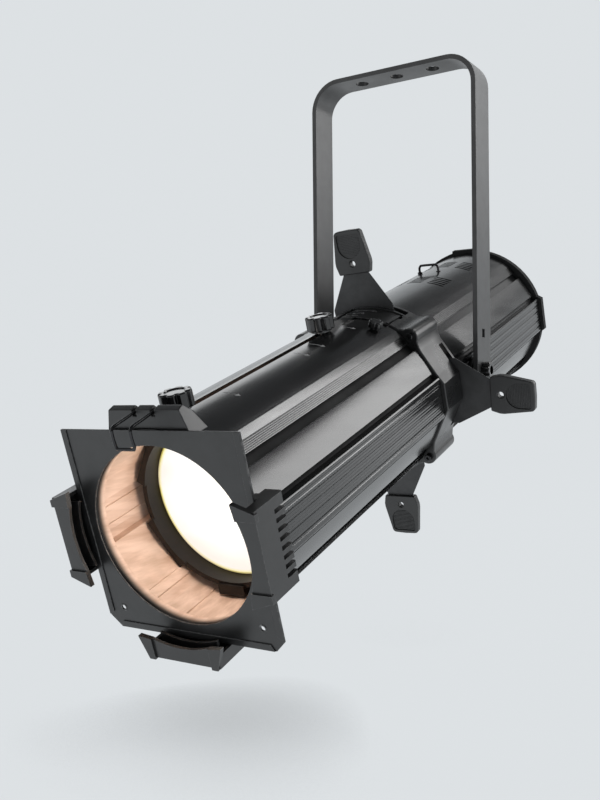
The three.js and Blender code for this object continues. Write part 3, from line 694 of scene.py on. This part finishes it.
def in_channel(centre, normal):
    """True of faces in the channels darkened with painted shade: at each corner between two flats, and beside
    the ribs.
    """
    local = TO_LAMP @ centre
    turn = math.degrees(math.atan2(abs(local.z), abs(local.x)))
    reach = math.hypot(local.x, local.z)
    return any(low < turn < high and near < reach < far for low, high, near, far in CHANNELS)


RECESS_FLOOR, RECESS_RIGHT = 77.5, 60.5         # its radius, and its right edge in degrees


def top_recess(left, rear, front):
    """The band taken off the top, from its right edge round to the given angle."""
    outline = arc(0, 0, RECESS_FLOOR, RECESS_RIGHT, left, 16) + arc(0, 0, 92, left, RECESS_RIGHT, 6)
    return placed(prism(outline[::-1], rear, front, edge=0), ALONG)


SLOT_HALF, SLOT_REAR, SLOT_FRONT = 3.5, 121, 347


def lens_tube():
    bore = mirrored(BORE_QUARTER)
    bm = placed(prism(mirrored(section_quarter()), TUBE_REAR, TUBE_FRONT, [bore], edge=0.5), ALONG)
    outline = [(-SLOT_HALF, -SLOT_FRONT), (SLOT_HALF, -SLOT_FRONT), (SLOT_HALF, -SLOT_REAR),
               (-SLOT_HALF, -SLOT_REAR)]
    slot = placed(prism(fillet(outline, SLOT_HALF - 0.1, 6), 60, 90, edge=0), UPWARD)
    shell = carved(bm, slot, top_recess(86, TUBE_REAR - 1, 108))
    piece_from("lens_tube_shell", shell, "lamp", TUBE, ("lens_tube",), LAMP,
               others=((INNER, is_inside(79.9)), (CHANNEL_PAINTED_SHADE, in_channel)))


lens_tube()
VENT_MIDDLE, VENT_HALF, VENT_PITCH, VENT_MOUTHS = 23, 8.5, 6, (-64, -139)
VENT_LENGTH = 3                                 # along the lamp


def housing_vents():
    """Five short slots in each of six groups on top."""
    cutters = []
    for mouth in VENT_MOUTHS:
        for i in range(5):
            start = -(mouth - VENT_PITCH * i)
            for u in (-VENT_MIDDLE, 0, VENT_MIDDLE):
                left, right, end = u - VENT_HALF, u + VENT_HALF, start + VENT_LENGTH
                slot = fillet([(left, start), (right, start), (right, end), (left, end)], 1.45, 4)
                cutters.append(placed(prism(slot, 58, 92, edge=0), UPWARD))
    return cutters


def rear_housing():
    bore = mirrored([(76.6, 0), (76.6, 15.9), (70.3, 16.9), (69.8, 21), (65.8, 31.4), (35, 66)]
                    + arc(0, 0, 74.6, 62, 90, 12)[1:])
    outline = mirrored(section_quarter(HOUSING_SCALE, HOUSING_RIDGES))
    shell = carved(placed(prism(outline, HOUSING_REAR, HOUSING_FRONT, [bore], edge=0.5), ALONG),
                   *housing_vents())
    boss_start = 77.2
    for side in (-1, 1):
        boss = placed(lathe([(4.4, 0), (4.4, 7.0), (12.4, 7.0), (13, 6.4), (13, 0)], 48),
                      Matrix.Translation((side * boss_start, 0, 0))
                      @ Matrix.Rotation(side * math.pi / 2, 4, "Y"))
        shell = merged(shell, boss)
    piece_from("rear_housing_shell", shell, "lamp", TUBE, ("rear_housing",), LAMP)


rear_housing()


MARK_STATIONS = (293, 193, 167, 112)


def index_marks():
    """Fine position lines with an arrow tip, printed on the tube to the right of the slot."""
    parts = []
    height, thick = TUBE_RADIUS + 0.02, 0.06

    def on_tube(points):
        bm = bmesh.new()
        rings = []
        for lift in (0, thick):
            ring = []
            for u, d in points:
                angle = u / TUBE_RADIUS
                r = height + lift
                ring.append(bm.verts.new((r * math.sin(angle), -d, r * math.cos(angle))))
            rings.append(ring)
        bm.faces.new(rings[1])
        bm.faces.new(rings[0][::-1])
        for i in range(len(points)):
            j = (i + 1) % len(points)
            bm.faces.new((rings[0][i], rings[0][j], rings[1][j], rings[1][i]))
        bmesh.ops.recalc_face_normals(bm, faces=bm.faces)
        return bm

    for d in MARK_STATIONS:
        steps = [8 + 12 * i / 6 for i in range(7)]
        parts.append(on_tube([(u, d - 0.4) for u in steps] + [(u, d + 0.4) for u in reversed(steps)]))
        parts.append(on_tube([(19.2, d + 2.3), (23.2, d), (19.2, d - 2.3), (20.2, d)]))
    piece_from("index_marks", merged(*parts), "lamp", MARK, (), LAMP)


index_marks()

# ---- gate housing: the ring with four ears, its shutter slots and its screws ----
RING_REAR, RING_FRONT = 34.3, 80.3


def ring_outline():
    ear_at = 80.5 * math.sqrt(0.5)
    quarter = [(84.9, 0), (84.9, 12.4), (84.4, 13.2), (79.8, 20.4), (79.2, 21.2), (66.6, 44.0), (65.6, 47.2)]
    quarter += arc(ear_at, ear_at, 8.5, -28, 118, 18)
    quarter += [(47.2, 65.4)] + arc(0, 0, 80.5, 57.5, 90, 16)
    return mirrored(quarter)


def gate_housing():
    body = placed(prism(ring_outline(), RING_REAR, RING_FRONT, [circle(71.2)], edge=1.1, steps=3), ALONG)
    half, rear, front = 40, 38.4, 46.6
    upright = [(-half, -100), (half, -100), (half, 100), (-half, 100)]
    level = [(-100, -half), (100, -half), (100, half), (-100, half)]
    pattern = [(-37, 50), (41, 50), (41, 100), (-37, 100)]
    slots = ((upright, rear, front), (level, rear, front), (pattern, 53, 60))
    cutters = [placed(prism(outline, start, end, edge=0), ALONG) for outline, start, end in slots]
    cutters.append(top_recess(99.5, 49, RING_FRONT + 1))
    piece_from("gate_ring", carved(body, *cutters), "lamp", CASING, ("gate_housing",), LAMP)


gate_housing()


def cap_screw(radius, height, hexagon):
    """A socket-head screw, standing along w from 0."""
    head = lathe([(0, 0), (radius, 0), (radius, height - 0.5), (radius - 0.5, height), (0, height)], 32)
    key = prism(circle(hexagon, 6), height * 0.4, height + 1, edge=0)
    return carved(head, key)


EAR_REACH = 82.6        # of the screws in the ears, from the optical axis

for number in range(4):
    angle = math.radians(45 + 90 * number)
    screw = placed(cap_screw(3.4, 3.0, 1.7), ALONG)
    centre = Matrix.Translation(
        (EAR_REACH * math.cos(angle), -RING_FRONT - 0.3, EAR_REACH * math.sin(angle)))
    piece_from(f"ring_cap_screw_{number + 1}", screw, "lamp", BLACK_STEEL, (f"ring_screw_{number + 1}",),
               LAMP @ centre)


def pattern_cover():
    """A thin curved cover in the recess over the pattern slot, with three raised ribs and a lipped edge."""
    def band(inner, outer, start, stop, rear, front, edge=0.3):
        outline = arc(0, 0, inner, start, stop, 24) + arc(0, 0, outer, stop, start, 24)
        return placed(prism(outline[::-1], rear, front, edge=edge), ALONG)

    parts = [band(77.8, 79.0, 62, 98.8, 49.4, 79.6), band(78.6, 80.0, 78, 97, 56.6, 57.8, 0.4),
             band(78.6, 79.7, 84, 98, 66.0, 67.0), band(78.6, 79.7, 86, 98, 74.0, 75.0),
             band(78.6, 80.1, 62, 64, 52.0, 78.0, 0.4)]
    piece_from("pattern_slot_cover", merged(*parts), "lamp", COVER, ("pattern_cover",), LAMP)


pattern_cover()


# ---- shutters ----
BLADE_TIP = 28          # from the optical axis to the edge that a blade is drawn with


def shutter_place(side):
    """Where a blade and its grip, drawn standing on the optical axis, belong."""
    blade_node = f"shutter_blade_{side}"
    push = Vector(joints[f"shutter_{side}_push"]["axis"])
    outward = TO_LAMP.to_3x3() @ -push
    turn = math.degrees(math.atan2(outward.x, outward.z))
    centre = sum(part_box(blade_node), Vector()) / 2
    radial = Vector((outward.x, 0, outward.z)).normalized()
    corners = [TO_LAMP @ Vector(v.co) for v in frame["nodes"][blade_node].data.vertices]
    pull = min(c.dot(radial) for c in corners) - BLADE_TIP
    return turned_by(turn, (pull * radial.x, -(TO_LAMP @ centre).y, pull * radial.z))


DISH = 12.2             # half width of the thumb dish


def grip_mesh():
    outline = [(-16.2, 112.9), (16.2, 112.9), (18.4, 121.6), (18.4, 125.6)]
    outline += arc(10.3, 150.1, 4, 15, 78, 6) + [(0, 154.5)] + arc(-10.3, 150.1, 4, 102, 165, 6)
    outline += [(-18.4, 125.6), (-18.4, 121.6)]
    body = prism(fillet(outline, 1.6, 4), -3.5, 3.5, [circle(2.8, 32, 0, 122.6)], edge=1.1, steps=3)
    dish = arc(0, 139.8, DISH, 180, 360, 24) + [(DISH, 145.6)] + arc(DISH - 3.0, 148.2, 3.0, 10, 80, 4)
    dish += arc(3.0 - DISH, 148.2, 3.0, 100, 170, 4) + [(-DISH, 145.6)]
    socket = [(-13.7, 107), (13.7, 107), (13.7, 117.8), (-13.7, 117.8)]
    cuts = ((dish, 2.3, 6), (dish, -6, -2.3), (socket, -0.7, 0.7))
    cutters = [placed(prism(cut, low, high, edge=0), ALONG) for cut, low, high in cuts]
    parts = [carved(placed(body, ALONG), *cutters)]
    for i in range(14):
        v = 129.8 + i * 1.5
        half = DISH - 0.7 if v > 139.8 else math.sqrt(max(1.0, (DISH - 0.7) ** 2 - (139.8 - v) ** 2))
        for low in (2.2, -2.75):
            bar = fillet([(-half, v - 0.35), (half, v - 0.35), (half, v + 0.35), (-half, v + 0.35)], 0.3, 2)
            parts.append(placed(prism(bar, low, low + 0.55, edge=0.15), ALONG))
    return merged(*parts)


def blade_mesh():
    outline = [(-32, BLADE_TIP), (32, BLADE_TIP), (32, 80), (13.4, 113), (13.4, 117.5), (-13.4, 117.5),
               (-13.4, 113), (-32, 80)]
    return placed(prism(fillet(outline, 2.0, 3), -0.4, 0.4, edge=0.15, steps=1), ALONG)


for side in ("top", "right", "left", "bottom"):
    at = LAMP @ shutter_place(side)
    for kind, mesh, kind_look in (("grip", grip_mesh(), GRIP), ("blade", blade_mesh(), BLADE)):
        piece_from(f"{side}_shutter_{kind}", mesh, f"shutter_{side}", kind_look,
                   (f"shutter_{kind}_{side}",), at)


# ---- knobs ----
def fluted(radius, depth, lobes, per_lobe=16):
    """A round outline with a hollow between each two lobes."""
    points = []
    for i in range(lobes * per_lobe):
        angle = 2 * math.pi * i / (lobes * per_lobe)
        dip = max(0.0, math.cos(lobes * angle)) ** 1.5
        r = radius - depth * dip
        points.append((r * math.cos(angle), r * math.sin(angle)))
    return points


def lock_knob():
    grip = prism(fluted(12.3, 2.3, 8), 81.9, 94.5, edge=1.3, steps=4)
    dish = lathe([(0, 93.6), (7.2, 93.6), (8.0, 94.4), (8.0, 96), (0, 96)], 48)
    collar = lathe([(0, 80.4), (9.4, 80.4), (9.4, 82.6), (0, 82.6)], 48)
    washer = lathe([(0, 79.5), (7.0, 79.5), (7.0, 80.3), (0, 80.3)], 40)
    stud = lathe([(0, 71.8), (2.6, 71.8), (2.6, 80), (0, 80)], 24)
    return merged(carved(grip, dish), collar, washer, stud)


for name, d in (("focus", 336), ("zoom", 132)):
    knob = placed(lock_knob(), Matrix.Translation((0, -d, 0)))
    piece_from(f"{name}_lock_knob", knob, f"{name}_knob", KNOB, (f"{name}_knob",), LAMP)

LOCK_TURN, LOCK_STATION = 25, 97        # degrees to the right of the top, and millimetres ahead
lock_at = turned_by(LOCK_TURN, (0, LOCK_STATION, 0))
small = merged(prism(fluted(6.4, 1.4, 6), 79.4, 86.2, edge=0.8, steps=3),
               lathe([(0, 78.1), (2.4, 78.1), (2.4, 80), (0, 80)], 20))
piece_from("cover_lock_screw", small, "lock_screw", KNOB, ("lock_screw",), LAMP @ lock_at)


def tilt_knob(side, sign):
    grip_start, grip_end = 91.3, 98.3
    grip = prism(fluted(8.2, 1.5, 6), grip_start, grip_end, edge=0.9, steps=3)
    cap = lathe([(0, grip_end - 0.5), (4.6, grip_end - 0.5), (4.2, grip_end), (0, grip_end)], 40)
    stud = lathe([(0, 82.5), (3.9, 82.5), (3.9, 92), (0, 92)], 28)
    knob = merged(grip, cap, stud)
    facing = Matrix.Rotation(sign * math.pi / 2, 4, "Y")
    at = Matrix.Translation(pivot) @ IN_METRES @ facing
    piece_from(f"{side}_tilt_knob", knob, f"tilt_knob_{side}", KNOB, (f"tilt_knob_{side}",), at)


tilt_knob("right", 1)
tilt_knob("left", -1)


# ---- colour frame ----
def colour_frame():
    half, chamfer, hem, hole = 79.5, 8.5, 5.2, 68.4
    rivet_u, rivet_h = 63.5, -62.7
    outline = [(-half, -half + chamfer), (-half + chamfer, -half), (half - chamfer, -half),
               (half, -half + chamfer), (half, half), (-half, half)]
    rivets = [circle(1.8, 20, u, rivet_h) for u in (-rivet_u, rivet_u)]
    parts = [prism(fillet(outline, 0.6, 2), 373.3, 374.35, [circle(hole, 128), *rivets], edge=0.25)]
    inner = half - hem
    strips = [
        [(-half, -half + chamfer + 0.6), (-inner, -half + chamfer + 3.6), (-inner, half), (-half, half)],
        [(half, -half + chamfer + 0.6), (half, half), (inner, half), (inner, -half + chamfer + 3.6)],
        [(-half + chamfer + 0.6, -half), (half - chamfer - 0.6, -half), (half - chamfer - 3.6, -inner),
         (-half + chamfer + 3.6, -inner)],
    ]
    for strip in strips:
        parts.append(prism(fillet(strip, 0.5, 2), 374.2, 375.3, edge=0.45, steps=3))
    for part in parts:
        placed(part, ALONG)
    eyelets = [placed(lathe([(1.8, 374.2), (3.1, 374.2), (2.9, 374.7), (1.9, 374.7)], 32),
                      ALONG @ Matrix.Translation((u, rivet_h, 0))) for u in (-rivet_u, rivet_u)]
    piece_from("gel_frame_sheet", merged(*parts, *eyelets), "colour_frame", SHEET, ("colour_frame",), LAMP)


colour_frame()


# ---- wires ----
def bail_path():
    half = 8.2
    leg = [(366, 91.9), (378, 90.4), (389, 89.4), (393.2, 88.7), (395.2, 86.6), (395.5, 82), (395.1, 77.4),
           (394.9, 75.6)]
    right = [(half, -d, h) for d, h in leg]
    bottom = [(half - 0.5, -394.9, 74.4), (half - 1.6, -394.9, 73.9), (0, -394.9, 73.9),
              (1.6 - half, -394.9, 73.9), (0.5 - half, -394.9, 74.4)]
    left = [(-u, d, h) for u, d, h in reversed(right)]
    return smooth_path(right + bottom + left)


piece_from("bail_wire", tube(bail_path(), 1.15), "frame_bail", BLACK_STEEL, ("frame_bail",), LAMP)


def safety_hoop():
    """A low wire hoop on top of the housing, in two small collars."""
    shell, middle_u, half, rise, at = HOUSING_SCALE * TUBE_RADIUS, -6, 11, 7.6, -118
    top = shell + rise
    side = [(half, 76.0), (half, top - 4), (half - 0.4, top - 2.2), (half - 1.8, top - 0.4), (half - 4, top)]
    right = [(middle_u + u, -at, h) for u, h in side]
    left = [(middle_u - u, -at, h) for u, h in reversed(side)]
    hoop = tube(smooth_path(right + left), 1.3)
    collars = [placed(lathe([(0, 75.2), (2.6, 75.2), (2.6, 78.0), (2.1, 78.5), (0, 78.5)], 24),
                      Matrix.Translation((middle_u + u, -at, 0))) for u in (-half, half)]
    piece_from("safety_hoop", merged(hoop, *collars), "lamp", BLACK_STEEL, ("safety_loop",), LAMP)


safety_hoop()


# ---- lenses ----
def dome(radius, edge, bulge, rear):
    """A flat-backed lens; its front rises towards the middle."""
    front = [(radius * i / 24, rear + edge + bulge * (1 - (i / 24) ** 2)) for i in range(25)]
    profile = [(0, rear), (radius - 0.3, rear), (radius, rear + 0.3)] + front[::-1]
    return placed(lathe(profile, 128), ALONG)


LENS_EDGE, LENS_BULGE, LENS_SEAT = 5, 9, 2.8    # edge thickness, rise, and depth behind it in its carrier


def lit_lens(name, kind, radius, carrier):
    """A lens in its carrier, with a rim attribute that runs from 0 in the middle to 1 at the edge."""
    glass = dome(radius, LENS_EDGE, LENS_BULGE, carrier + LENS_SEAT)
    piece = piece_from(name, glass, f"{kind}_carriage", LENS, (f"{kind}_lens",), LAMP)
    rim = piece.data.attributes.new("rim", "FLOAT", "POINT")
    for i, vertex in enumerate(piece.data.vertices):
        local = TO_LAMP @ vertex.co
        rim.data[i].value = math.hypot(local.x, local.z) / radius


lit_lens("front_lens", "focus", 63, 301)
lit_lens("rear_lens", "zoom", 52, 118)
piece_from("condenser", dome(44, 3, 8, 18.3), "lamp", CLEAR, ("condenser_lens",), LAMP)


def front_bezel():
    """A plain ring: black outside and at its mouth, bare inside like the tube."""
    profile = [(68.9, 363.4), (79.1, 363.4), (79.3, 363.7), (79.3, 371.5), (78.5, 372.3), (70.1, 372.3),
               (69.2, 371.6), (68.9, 370.8)]
    piece_from("front_bezel_ring", placed(lathe(profile, 128), ALONG), "lamp", CASING, ("front_bezel",),
               LAMP, others=((INNER, is_inside(69.1)),))


front_bezel()


# ---- back panel details ----
PANEL_REAR, CAP_REAR = -216.5, -219.4


def screw_head(radius, height):
    """A domed head with a cross recess, standing along w from 0."""
    head = lathe([(0, 0), (radius, 0), (radius, height * 0.4), (radius * 0.75, height * 0.85),
                  (0, height)], 28)
    reach, half = radius * 0.6, 0.32
    arms = [prism([(-reach, -half), (reach, -half), (reach, half), (-reach, half)],
                  height * 0.35, height + 1, edge=0) for _ in range(2)]
    arms[1].transform(Matrix.Rotation(math.pi / 2, 4, "Z"))
    return carved(head, *arms)


BACKWARD = ALONG @ Matrix.Rotation(math.pi, 4, "X")      # w runs to the rear


def on_back(u, h, rear):
    return LAMP @ Matrix.Translation((u, -rear, h)) @ BACKWARD


for number in range(8):
    angle = math.radians(22.5 + 45 * number)
    place, reach = (CAP_REAR, 74.5) if number % 2 else (PANEL_REAR, 62.0)
    piece_from(f"back_screw_{number + 1}", screw_head(2.6, 1.5), "lamp", BLACK_STEEL,
               (), on_back(reach * math.cos(angle), reach * math.sin(angle), place))


def socket_core(name, u, h, bore, pins, pin_radius, pin_ring, rear):
    """The insulator and contacts down inside a socket."""
    core = lathe([(0, 0), (bore - 0.5, 0), (bore - 0.5, 1.6), (bore - 1.1, 2.2), (0, 2.2)], 48)
    key = placed(prism(fillet([(-1.2, 0), (1.2, 0), (1.2, 2.0), (-1.2, 2.0)], 0.3), 0, 7.5, edge=0.2),
                 Matrix.Translation((0, bore - 2.2, 0)))
    piece_from(f"{name}_insulator", merged(core, key), "lamp", PLASTIC, (), on_back(u, h, rear))
    contacts = []
    for i in range(pins):
        angle = math.radians(-90 + (i - (pins - 1) / 2) * 240 / pins)
        pin = lathe([(0, 2), (pin_radius, 2), (pin_radius, 8.6), (pin_radius * 0.5, 9.4), (0, 9.4)], 20)
        at = Matrix.Translation((pin_ring * math.cos(angle), pin_ring * math.sin(angle), 0))
        contacts.append(placed(pin, at))
    piece_from(f"{name}_contacts", merged(*contacts), "lamp", BRASS, (), on_back(u, h, rear))


socket_core("power_in", -31, -8, 11, 3, 1.5, 5.6, -205.6)
socket_core("power_out", 31, -8, 11, 3, 1.5, 5.6, -205.6)
socket_core("data_in", -21, -43, 8.6, 3, 1.0, 4.4, -208.6)
socket_core("data_out", 21, -43, 8.6, 5, 0.8, 4.8, -208.6)


def display_surround():
    """A raised frame round the display."""
    outer = fillet([(-26, 28), (26, 28), (26, 52), (-26, 52)], 3.0, 5)
    opening = fillet([(-22.4, 31.6), (22.4, 31.6), (22.4, 48.4), (-22.4, 48.4)], 1.4, 4)
    rim = placed(prism(outer, PANEL_REAR - 1.4, PANEL_REAR, [opening], edge=0.4), ALONG)
    piece_from("display_surround", rim, "lamp", PLASTIC, (), LAMP)


display_surround()

# ---- everything else keeps its CAD shape, with merged faces and rounded edges ----
REFINED = (
    (YOKE, 0.7, "yoke_bar"),
    (RUBBER, 0.2, "friction_washer_right friction_washer_left"),
    (PLASTIC, 0.7, "latch_block"),
    (PLASTIC, 0.45, "holder_right holder_left holder_bottom"),
    (BLADE, 0.2, "gate_plate pattern_holder"),
    (BROWN, 0.6, "focus_carrier zoom_carrier"),
    (ALUMINIUM, 0.2, "heat_sink"),
    (BOARD, 0.1, "led_board"),
    (EMITTER, 0.15, "led_emitter"),
    (ALUMINIUM, 0.2, "reflector"),
    (STEEL, 0.5, "power_supply"),
    (BOARD, 0.15, "driver_board"),
    (PLASTIC, 0.4, "fan_frame"),
    (PLASTIC, 0.2, "fan_rotor"),
    (RUBBER, 0.8, "rear_cap"),
    (SHEET, 0.15, "rear_panel"),
    (DISPLAY, 0.25, "display_window"),
    (PLASTIC, 0.3, "fuse_holder power_inlet power_outlet data_inlet data_outlet"),
)
for node_look, width, nodes in REFINED:
    for node in nodes.split():
        refined(node, node_look, width)
for number in range(1, 5):
    refined(f"menu_button_{number}", PRINT, 0.5, 3)

# ---- floor, light ----
FLOOR_GAP = 0.055
floor_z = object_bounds()[0].z - FLOOR_GAP
PALE = (0.716, 0.747, 0.768)                 # the backdrop's colour
TARGET = Vector((0.04, -0.18, -0.36))        # the middle of the lens tube


def backdrop():
    """A pale floor that curves up into a wall; a soft painted shadow darkens its glow beneath the lamp, and
    its glow also darkens high on the wall.
    """
    wide, near, far, bend, tall = 11.0, -6.0, 6.0, 2.0, 6.6
    profile = [(near, 0.0), (far - bend, 0.0)]
    profile += [(far - bend + bend * math.sin(a), bend - bend * math.cos(a))
                for a in (math.pi / 2 * i / 24 for i in range(1, 25))]
    profile.append((far, tall))
    bm = bmesh.new()
    rows = [[bm.verts.new((x, y, floor_z + z)) for x in (-wide, wide)] for y, z in profile]
    for one, two in zip(rows, rows[1:]):
        bm.faces.new((one[0], one[1], two[1], two[0]))
    floor = to_object("studio_floor", bm)
    floor.rotation_euler.z = math.radians(CAMERA_AZIMUTH)
    floor.data.shade_smooth()
    n = Nodes("pale_floor")
    # Painted shadow: ambient occlusion darkens the floor's glow beneath the lamp.
    painted_floor_shadow = n.add("ShaderNodeAmbientOcclusion", {"Distance": 0.12}, samples=3).outputs["AO"]
    shade = n.span(painted_floor_shadow, 0.5, 1.0, 0.45, 1.0)
    height = n.add("ShaderNodeSeparateXYZ", {0: n.place}).outputs[2]
    shade = n.math("MULTIPLY", shade, n.span(height, 1.0, 0.2, floor_z + 4.7, floor_z + 6.0))
    glowing = n.mix(shade, rgb(0.0, 0.0, 0.0), rgb(*PALE))
    n.set(Base_Color=rgb(0.02, 0.02, 0.02), Roughness=1.0, Specular_IOR_Level=0.0, Emission_Color=glowing,
          Emission_Strength=1.0)
    floor.data.materials.append(n.material)


backdrop()


def softbox(name, azimuth, elevation, distance, size, radiance):
    """An area light seen from the lens tube in the given direction; azimuth 0 is +Y, 90 is +X."""
    a, e = math.radians(azimuth), math.radians(elevation)
    away = Vector((math.sin(a) * math.cos(e), math.cos(a) * math.cos(e), math.sin(e)))
    data = bpy.data.lights.new(name, "AREA")
    data.shape = "RECTANGLE"
    data.size, data.size_y = size
    data.energy = radiance * math.pi * size[0] * size[1]
    light = bpy.data.objects.new(name, data)
    light.location = TARGET + away * distance
    light.rotation_euler = (-away).to_track_quat("-Z", "Y").to_euler()
    light.visible_camera = False
    bpy.context.scene.collection.objects.link(light)


softbox("facet_softbox", 46, 25, 1.9, (1.1, 0.75), 3.6)
softbox("top_softbox", 27, 55, 1.9, (0.42, 0.6), 5.6)
softbox("rear_softbox", 12, 34, 2.6, (1.5, 0.5), 0.55)
softbox("side_softbox", 30, -4, 1.6, (0.7, 0.4), 0.45)
softbox("left_back_softbox", -43, 33, 2.2, (0.75, 0.65), 1.0)
softbox("front_fill", -150, 25, 2.4, (1.6, 1.6), 0.5)
softbox("left_fill", -75, 15, 2.0, (1.0, 1.4), 0.5)


def beam_glow():
    """Warm light in front of the lens, which lights the bare inner wall."""
    data = bpy.data.lights.new("beam_glow", "POINT")
    data.energy = 0.19
    data.color = (1.0, 0.87, 0.76)
    data.shadow_soft_size = 0.02
    light = bpy.data.objects.new("beam_glow", data)
    light.location = LAMP @ Vector((0, -333, 0))
    light.visible_camera = False
    light.visible_glossy = False
    bpy.context.scene.collection.objects.link(light)


beam_glow()


def surroundings():
    """A dim pale sky that lights the object, shown to the camera as bright as the backdrop."""
    world = bpy.data.worlds.new("studio")
    world.use_nodes = True
    tree = world.node_tree
    dim, backing = tree.nodes["Background"], tree.nodes.new("ShaderNodeBackground")
    dim.inputs["Color"].default_value = rgb(0.72, 0.75, 0.78)
    dim.inputs["Strength"].default_value = 0.16
    backing.inputs["Color"].default_value = rgb(*PALE)
    shown = tree.nodes.new("ShaderNodeLightPath").outputs["Is Camera Ray"]
    blend = tree.nodes.new("ShaderNodeMixShader")
    for i, output in enumerate((shown, dim.outputs[0], backing.outputs[0])):
        tree.links.new(output, blend.inputs[i])
    tree.links.new(blend.outputs[0], tree.nodes["World Output"].inputs[0])
    bpy.context.scene.world = world


surroundings()
